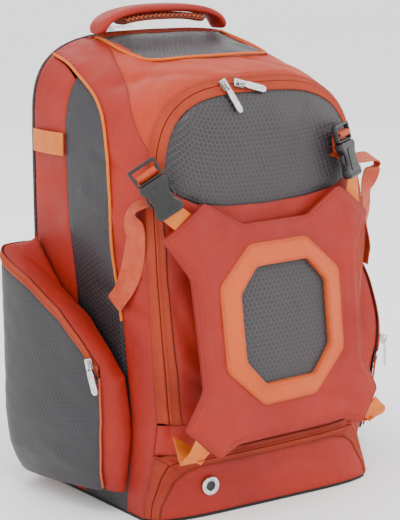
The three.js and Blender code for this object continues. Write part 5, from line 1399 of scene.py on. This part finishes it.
def filled(name, loops, low, high, edge, matrix, material, nodes=(), body="bag", scale=1.0):
    """A plate between the heights low and high over closed loops of (x, y), the later ones being holes."""
    data = bpy.data.curves.new(name, "CURVE")
    data.dimensions = "2D"
    data.fill_mode = "BOTH"
    data.extrude = ((high - low) / 2 - edge) * MM
    data.bevel_depth = edge * MM
    data.bevel_resolution = 2
    for loop_points in loops:
        pts = np.asarray(loop_points, float)
        spline = data.splines.new("POLY")
        spline.points.add(len(pts) - 1)
        spline.use_cyclic_u = True
        flat = np.c_[pts * MM, np.zeros(len(pts)), np.ones(len(pts))]
        spline.points.foreach_set("co", flat.astype(np.float32).ravel())
    data.offset = -edge * MM
    holder = bpy.data.objects.new(name + "_curve", data)
    bpy.context.scene.collection.objects.link(holder)
    bpy.context.view_layer.update()
    graph = bpy.context.evaluated_depsgraph_get()
    mesh = bpy.data.meshes.new_from_object(holder.evaluated_get(graph), depsgraph=graph)
    bpy.data.objects.remove(holder)
    move = Matrix([[*row] for row in matrix]) @ Matrix.Translation((0, 0, (low + high) / 2 * MM))
    mesh.transform(move)
    mesh.name = name
    mesh.materials.clear()
    mesh.materials.append(material)
    mesh.shade_smooth()
    mesh.set_sharp_from_angle(angle=math.radians(40))
    piece = bpy.data.objects.new(name, mesh)
    bpy.context.scene.collection.objects.link(piece)
    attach(piece, body)
    if nodes:
        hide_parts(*nodes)
    return piece


def frame_matrix(x, y, z, origin):
    m = np.eye(4)
    m[:3, 0], m[:3, 1], m[:3, 2], m[:3, 3] = x, y, z, np.asarray(origin) * MM
    return m


def outline_of(points, radius=2.0, count=90):
    return rounded(points, radius, count)


for side_name, sign in SIDES:
    foot, head, facing = (np.array(v) for v in BUCKLES[sign])
    along = unit(head - foot)
    out = unit(facing - along * (facing @ along))
    wide = np.cross(along, out)
    matrix = frame_matrix(wide, along, out, foot)
    at = lambda x, y, z, w=wide, a=along, o=out, f=foot: f + w * x + a * y + o * z
    w, neck = BUCKLE_WIDTH / 2, BUCKLE_LENGTH * 0.66
    socket = outline_of([
        (-w * 0.86, 0), (w * 0.86, 0), (w * 0.98, neck * 0.2), (w * 0.74, neck * 0.34), (w * 0.7, neck * 0.55),
        (w * 0.76, neck * 0.72), (w, neck * 0.84), (w * 0.94, neck), (-w * 0.94, neck), (-w, neck * 0.84),
        (-w * 0.76, neck * 0.72), (-w * 0.7, neck * 0.55), (-w * 0.74, neck * 0.34), (-w * 0.98, neck * 0.2),
    ], 4, 130)
    filled("socket_body_" + side_name, [socket], -BUCKLE_WALL / 2, BUCKLE_WALL / 2, 1.3, matrix, BLACK,
           ["buckle_socket_" + side_name])
    raised = outline_of([
        (-w * 0.45, neck * 0.2), (w * 0.45, neck * 0.2), (w * 0.36, neck * 0.82), (-w * 0.36, neck * 0.82),
    ], 3)
    filled("socket_crown_" + side_name, [raised], BUCKLE_WALL / 2 - 0.6, BUCKLE_WALL / 2 + 0.9, 0.6, matrix, BLACK)
    bar = outline_of([(-w * 0.8, 1.2), (w * 0.8, 1.2), (w * 0.84, 4.2), (-w * 0.84, 4.2)], 1)
    filled("socket_bar_" + side_name, [bar], BUCKLE_WALL / 2 - 0.4, BUCKLE_WALL / 2 + 0.8, 0.5, matrix, BLACK)
    for end in (-1, 1):
        prong = outline_of([
            (end * w * 0.8, neck * 0.34), (end * w * 0.95, neck * 0.46), (end * w * 0.97, neck * 0.64),
            (end * w * 0.8, neck * 0.72),
        ][::end], 2)
        filled("prong_%s_%s" % ("a" if end < 0 else "b", side_name), [prong], -2.2, 2.2, 0.7, matrix, BLACK)
    ladder = outline_of([(-w * 0.94, neck + 0.4), (w * 0.94, neck + 0.4), (w, BUCKLE_LENGTH), (-w, BUCKLE_LENGTH)], 2.5)
    slot_a = outline_of([(-w * 0.8, neck + 2.5), (-w * 0.8, neck + 7), (w * 0.8, neck + 7), (w * 0.8, neck + 2.5)], 1)
    slot_b = outline_of([
        (-w * 0.8, neck + 10), (-w * 0.8, BUCKLE_LENGTH - 3), (w * 0.8, BUCKLE_LENGTH - 3), (w * 0.8, neck + 10),
    ], 1)
    filled("ladder_" + side_name, [ladder, slot_a, slot_b], -2.7, 2.7, 0.8, matrix, BLACK,
           ["buckle_plug_" + side_name])

    # The adjusting strap: over the ladder's middle bar, down behind the buckle and on along the side
    tail_points, tail_outs = [], []
    for depth, height, lift in STRAP_TAILS[sign]:
        s = float(s_at_height(depth, height * HEIGHT))
        s = s if sign < 0 else 4 - s
        n = skin_normal(s, depth)
        tail_points.append(skin(s, depth) + n * lift)
        tail_outs.append(n)
    path = [
        at(0, neck + 4.5, -4.5), at(0, neck + 6, 0), at(0, neck + 8.5, 3.2), at(0, neck + 11, 0), at(0, neck + 9, -6.2),
        at(0, neck - 2, -8.2), at(0, neck * 0.55, -8.4),
    ] + tail_points
    outs = [-along, -along, out, along, out * 0.6 + along, out, out] + tail_outs
    line = smooth_line(path, per=12)
    way = np.linspace(0, 1, len(line))
    strap_outs = unit(along_line(smooth_line(outs, per=12), way))
    sweep_piece("strap_tail_" + side_name, ["strap_" + side_name], line, strap_outs, web_section(22, 1.6), STRAP)

    def arm_end(first, second, reach_out, slide=0.0):
        corners = whole_outline(FLAP_OUTLINE)
        a, b = corners[first], corners[second]
        x, z = (a + b) / 2
        edge = unit(np.array([b[0] - a[0], 0, b[1] - a[1]]))
        normal = np.array([edge[2], 0, -edge[0]])
        normal = -normal if normal[0] < 0 else normal
        p = np.array([x, float(flap_y(x, z)) + FLAP_WALL * 0.7, z]) + normal * reach_out + edge * slide
        return p * np.array([sign, 1, 1])

    # The upper web is a straight piece between the end of the flap's arm and the foot of the buckle
    def upper_web(a, b):
        slide = (b - 0.5)[..., None] * WEBBING
        flap_end = arm_end(1, 2, -1.0) + (arm_end(1, 2, 0, 1.0) - arm_end(1, 2, 0)) * slide
        buckle_end = at(0, 1.0, 0) + wide * slide * sign * 0.96
        return lerp(flap_end, buckle_end, a[..., None])

    panel("upper_web_" + side_name, ["top_web_" + side_name], upper_web, 24, 20, BRIGHT, wall=1.6,
          gap=0.2, ripple=0, pucker=0, tuck=0, creased=False)

    fold = arm_end(6, 7, 18)
    seat = front_point(sign * 104, 84.5) + np.array([0, -5.5, 0])
    bend = lerp(fold, seat, 0.14) + np.array([0, 0, -3])
    path = [arm_end(6, 7, 0.5), lerp(arm_end(6, 7, 1), fold, 0.55), fold, bend, lerp(bend, seat, 0.5), seat]
    outs = [np.array([0, -1, 0.0]), np.array([0, -1, -0.2]), np.array([sign * 0.3, -0.8, -0.7]),
            np.array([sign * 0.6, -0.3, -0.8]), np.array([sign * 0.6, -0.2, -0.8]), np.array([sign * 0.6, -0.2, -0.8])]
    line = smooth_line(path, per=8)
    sweep_piece("lower_web_" + side_name, ["bottom_web_" + side_name], line,
                unit(along_line(np.array(outs), np.linspace(0, 1, len(line)))), web_section(24, 1.8), BRIGHT)

    t = np.linspace(0, 1, 40)
    u = lerp(0.01, 0.3, t)
    s = s_at_height(u, 0.775 * HEIGHT)
    s = s if sign < 0 else 4 - s
    n = skin_normal(s, u)
    points = skin(s, u) + n * (1 + 2.2 * np.sin(math.pi * t))[:, None]
    sweep_piece("side_band_" + side_name, ["bat_loop_" + side_name], points, n, web_section(24, 1.6), BRIGHT)

# %% [markdown]
# The handle: a padded strip of cloth and a mesh pad below for the hand.

# %% Handle
SPAN, HANDLE_TOP, HANDLE_X, HANDLE_Y = 150.0, 513.0, -5.5, 67.0
GRIP_WIDTH, GRIP_WALL = 30.0, 9.0
HANDLE_FOOT = HEIGHT - 3.5
handle_rise = lambda x: np.maximum(1 - (np.abs(x) / (SPAN / 2)) ** 2.4, 0) ** (1 / 2.4)


def handle_path(count, share, foot_lift):
    turn = np.linspace(math.pi, 0, count)
    x = SPAN / 2 * share * np.sign(np.cos(turn)) * np.abs(np.cos(turn)) ** 0.8
    z = lerp(HANDLE_FOOT + foot_lift, HANDLE_TOP - GRIP_WALL, handle_rise(x))
    points = np.stack([HANDLE_X + x, np.full_like(x, HANDLE_Y), z], -1)
    outs = unit(np.stack([x / SPAN * 1.2, x * 0, np.ones_like(x)], -1))
    return points, outs


points, outs = handle_path(90, 1.0, 3)
t = np.linspace(0, 1, 90)
widths = 1 - 0.45 * np.exp(-np.minimum(t, 1 - t) / 0.02) + 0.012 * ripples(points, 25)
grip = sweep_piece("grip_cloth", ["handle_grip"], points, outs, pillow_section(GRIP_WIDTH, GRIP_WALL, 3), RED,
                   widths=widths)
x = np.linspace(-0.7, 0.7, 70) * SPAN / 2
z = lerp(HANDLE_FOOT + 3, HANDLE_TOP - GRIP_WALL, handle_rise(x))
points = np.stack([HANDLE_X + x, np.full_like(x, HANDLE_Y), z], -1)
outs = unit(np.stack([x / SPAN * 1.2, x * 0, np.ones_like(x)], -1))
section = pillow_section(GRIP_WIDTH * 0.86, GRIP_WALL * 0.86, 3)
section[:, 1] -= GRIP_WALL * 0.86 + 0.4
pad = sweep_piece("pad_mesh", ["handle_pad"], points, outs, section, MESH)

# %% [markdown]
# The back: a padded panel, two contoured shoulder straps and the webbing below them.

# %% Back and shoulder straps
STRAP_ROUTE = [(-46, 0, 448), (-56, 22, 400), (-68, 36, 330), (-82, 42, 255), (-96, 40, 190)]
WEB_ROUTE = [(-97, 42, 186), (-112, 62, 150), (-128, 76, 105), (-138, 70, 62), (-142, 40, 32), (-142, 4, 22)]
BEHIND = BACK_Y + 11 + 0.8
for side_name, sign in SIDES:
    route = np.array(STRAP_ROUTE, float) * np.array([-sign, 1, 1]) + np.array([0, BEHIND + 1.2, 0])
    line = along_line(smooth_line(route), np.linspace(0, 1, 70))
    outs = np.tile(unit(np.array([0, 1, 0.25])), (70, 1))
    t = np.linspace(0, 1, 70)
    widths = 1 - 0.25 * np.exp(-(1 - t) / 0.05) - 0.06 * np.sin(math.pi * t) + 0.01 * ripples(line, 30)
    piece = sweep_piece("shoulder_pad_" + side_name, ["shoulder_strap_" + side_name], line, outs,
                        pillow_section(62, 12, 3.4, 48), PAD, widths=widths)
    route = np.array(WEB_ROUTE, float) * np.array([-sign, 1, 1]) + np.array([0, BEHIND + 2, 0])
    line = along_line(smooth_line(route), np.linspace(0, 1, 60))
    outs = np.tile(unit(np.array([sign * 0.5, 0.9, 0.1])), (60, 1))
    sweep_piece("shoulder_web_" + side_name, ["strap_web_" + side_name], line, outs, web_section(24, 1.8), STRAP)

back_s = np.linspace(0, 4, 161)
back_line = skin(back_s, np.zeros_like(back_s))[:, [0, 2]]
back_line[:, 1] = np.maximum(back_line[:, 1], 1.0)
back_centre = np.array([0, HEIGHT / 2])
back_count = 240
back_line = rounded(back_line[::4], 6, back_count)
shares = np.concatenate([1 - (1 - np.linspace(0.02, 1, 44)) ** 1.3])
xz = back_centre + (back_line[None] - back_centre) * shares[:, None, None]
edge = np.full(xz.shape[:-1], 1e9)
for q in back_line:
    edge = np.minimum(edge, np.hypot(xz[..., 0] - q[0], xz[..., 1] - q[1]))
channel = np.exp(-(xz[..., 0] / 9) ** 2)
for level in (170, 320):
    channel = channel + np.exp(-((np.abs(xz[..., 1] - level)) / 5) ** 2)
lift = 4 + 6.5 * (1 - np.exp(-edge / 12)) - 3.0 * np.minimum(channel, 1) * np.clip((edge - 14) / 10, 0, 1)
back_front = np.stack([xz[..., 0], BACK_Y + 0.6 + lift, xz[..., 1]], -1)
back_rear = np.stack([xz[::-1, :, 0], np.full(xz.shape[:-1], BACK_Y + 0.4), xz[::-1, :, 1]], -1)
back_all = np.concatenate([back_front, back_rear])
faces = disc_faces(len(back_all), back_count)
faces.append(tuple(range(back_count)))
faces.append(tuple(range(len(back_all) * back_count - 1, (len(back_all) - 1) * back_count - 1, -1)))
flat = back_all.reshape(-1, 3)
# Painted shade mask near the back pad's edge; the mesh material does not read it.
seam = np.exp(-np.concatenate([edge, edge[::-1]]) / 4).reshape(-1)
back = object_from("back_pad", flat, faces, flat[:, [0, 2]], seam, (PAD,), None, 60)
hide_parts("back_panel")

# %% [markdown]
# The base, the eyelet, and the zip sliders with their tabs.

# %% Base, eyelet and sliders
i = np.linspace(0, 1, 40)
left = skin(floor_spot(i)[..., 0], np.minimum(i, ZIP_EDGE))
across = np.linspace(door_foot[0], -door_foot[0], 40)
front = front_point(across, np.full_like(across, FLOOR_Z))
right = skin(4 - floor_spot(i[::-1])[..., 0], np.minimum(i[::-1], ZIP_EDGE))
foot_loop = np.concatenate([left, front, right])[:, :2] * 0.997
filled("base_cloth", [rounded(foot_loop, 3, 160)], 0.2, 3.0, 1.0, np.eye(4), PAD, ["base_panel"])

spot = front_point(*EYELET)
side_x = front_point(EYELET[0] + 5, EYELET[1]) - front_point(EYELET[0] - 5, EYELET[1])
side_z = front_point(EYELET[0], EYELET[1] + 5) - front_point(EYELET[0], EYELET[1] - 5)
eye_out = unit(np.cross(side_x, side_z))
eye_out = -eye_out if eye_out[1] > 0 else eye_out
profile = [(EYELET_HOLE / 2, -2.5), (EYELET_HOLE / 2, 0.6)]
quarter = np.linspace(0, math.pi / 2, 7)
profile += [(EYELET_HOLE / 2 + 2.4 - 2.4 * math.cos(t), 1.2 + 1.4 * math.sin(t)) for t in quarter]
profile += [(EYELET_OUTER / 2 - 2.2 + 2.2 * math.sin(t), 1.2 + 1.4 * math.cos(t)) for t in quarter]
profile += [(EYELET_OUTER / 2, 0.2), (EYELET_OUTER / 2 - 2, -2.5)]
turns = 48
ex = unit(side_x)
ez = np.cross(ex, eye_out)
points = []
for k in range(turns):
    a = 2 * math.pi * k / turns
    radial = ex * math.cos(a) + ez * math.sin(a)
    points += [spot + radial * r + eye_out * (h + 1.2) for r, h in profile]
faces = []
k = len(profile)
for i in range(turns):
    n = (i + 1) % turns
    for j in range(k):
        m = (j + 1) % k
        faces.append((i * k + j, n * k + j, n * k + m, i * k + m))
eyelet = object_from("eyelet_ring", points, faces, None, None, (METAL,), None, 40)
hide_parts("eyelet")
# Painted shade: a black disc sunk just inside the eyelet stands for the shade in its hole.
around = np.linspace(0, 2 * math.pi, 33)[:-1]
rim = [spot + (ex * math.cos(a) + ez * math.sin(a)) * (EYELET_HOLE / 2 + 0.4) + eye_out * 1.3 for a in around]
caps = [tuple(range(32)), tuple(range(63, 31, -1))]
walls = [(i, i + 32, (i + 1) % 32 + 32, (i + 1) % 32) for i in range(32)]
hole_shade = object_from("eyelet_hole_shade", rim + [q - eye_out * 0.6 for q in rim], caps + walls, None, None, (BLACK,), None, 40)

for node_name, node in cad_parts.items():
    if node_name.endswith(("_slider", "_pull")):
        node.data.materials.clear()
        node.data.materials.append(METAL)

# %% [markdown]
# Camera, floor and lights. The camera stands where the photographer's did, found from the bag's own edges.

# %% Camera, floor and light
AZIMUTH, PITCH = math.radians(36.2), math.radians(12.8)
forward = Vector((math.sin(AZIMUTH) * math.cos(PITCH), math.cos(AZIMUTH) * math.cos(PITCH), -math.sin(PITCH)))
camera_data = bpy.data.cameras.new("camera")
camera_data.lens = 103.85
camera_data.sensor_width = 36
camera_data.sensor_fit = "AUTO"
camera = bpy.data.objects.new("camera", camera_data)
camera.location = (-0.9428, -1.2882, 0.6017)
camera.rotation_euler = forward.to_track_quat("-Z", "Y").to_euler()
bpy.context.scene.collection.objects.link(camera)
bpy.context.scene.camera = camera

floor_mesh = bpy.data.meshes.new("floor")
floor_mesh.from_pydata([(-6, -6, 0), (6, -6, 0), (6, 6, 0), (-6, 6, 0)], [], [(0, 1, 2, 3)])
floor = bpy.data.objects.new("floor", floor_mesh)
paper = Nodes("floor_paper")
white = paper.mix(paper.noise(paper.place(), 3), srgb(255, 255, 255), srgb(253, 253, 253))
paper.put(paper.shader.inputs["Base Color"], white)
paper.shader.inputs["Roughness"].default_value = 0.9
floor_mesh.materials.append(paper.material)
bpy.context.scene.collection.objects.link(floor)

world = bpy.data.worlds.new("studio")
world.use_nodes = True
world.node_tree.nodes["Background"].inputs[0].default_value = (1.0, 1.0, 1.0, 1)
world.node_tree.nodes["Background"].inputs[1].default_value = 1.7
bpy.context.scene.world = world


def area(name, place, target, size, power):
    data = bpy.data.lights.new(name, "AREA")
    data.shape = "DISK"
    data.size = size
    data.energy = power
    lamp = bpy.data.objects.new(name, data)
    lamp.location = place
    lamp.rotation_euler = (Vector(target) - Vector(place)).to_track_quat("-Z", "Y").to_euler()
    bpy.context.scene.collection.objects.link(lamp)


area("key", (-0.5, -1.6, 2.2), (0, 0, 0.3), 1.2, 26)
area("fill", (1.9, -1.3, 1.0), (0, 0, 0.25), 1.5, 10)
area("side", (-2.2, -0.1, 1.1), (0, 0, 0.25), 1.3, 9)
area("rim", (0.3, 2.0, 1.9), (0, 0, 0.3), 1.2, 14)
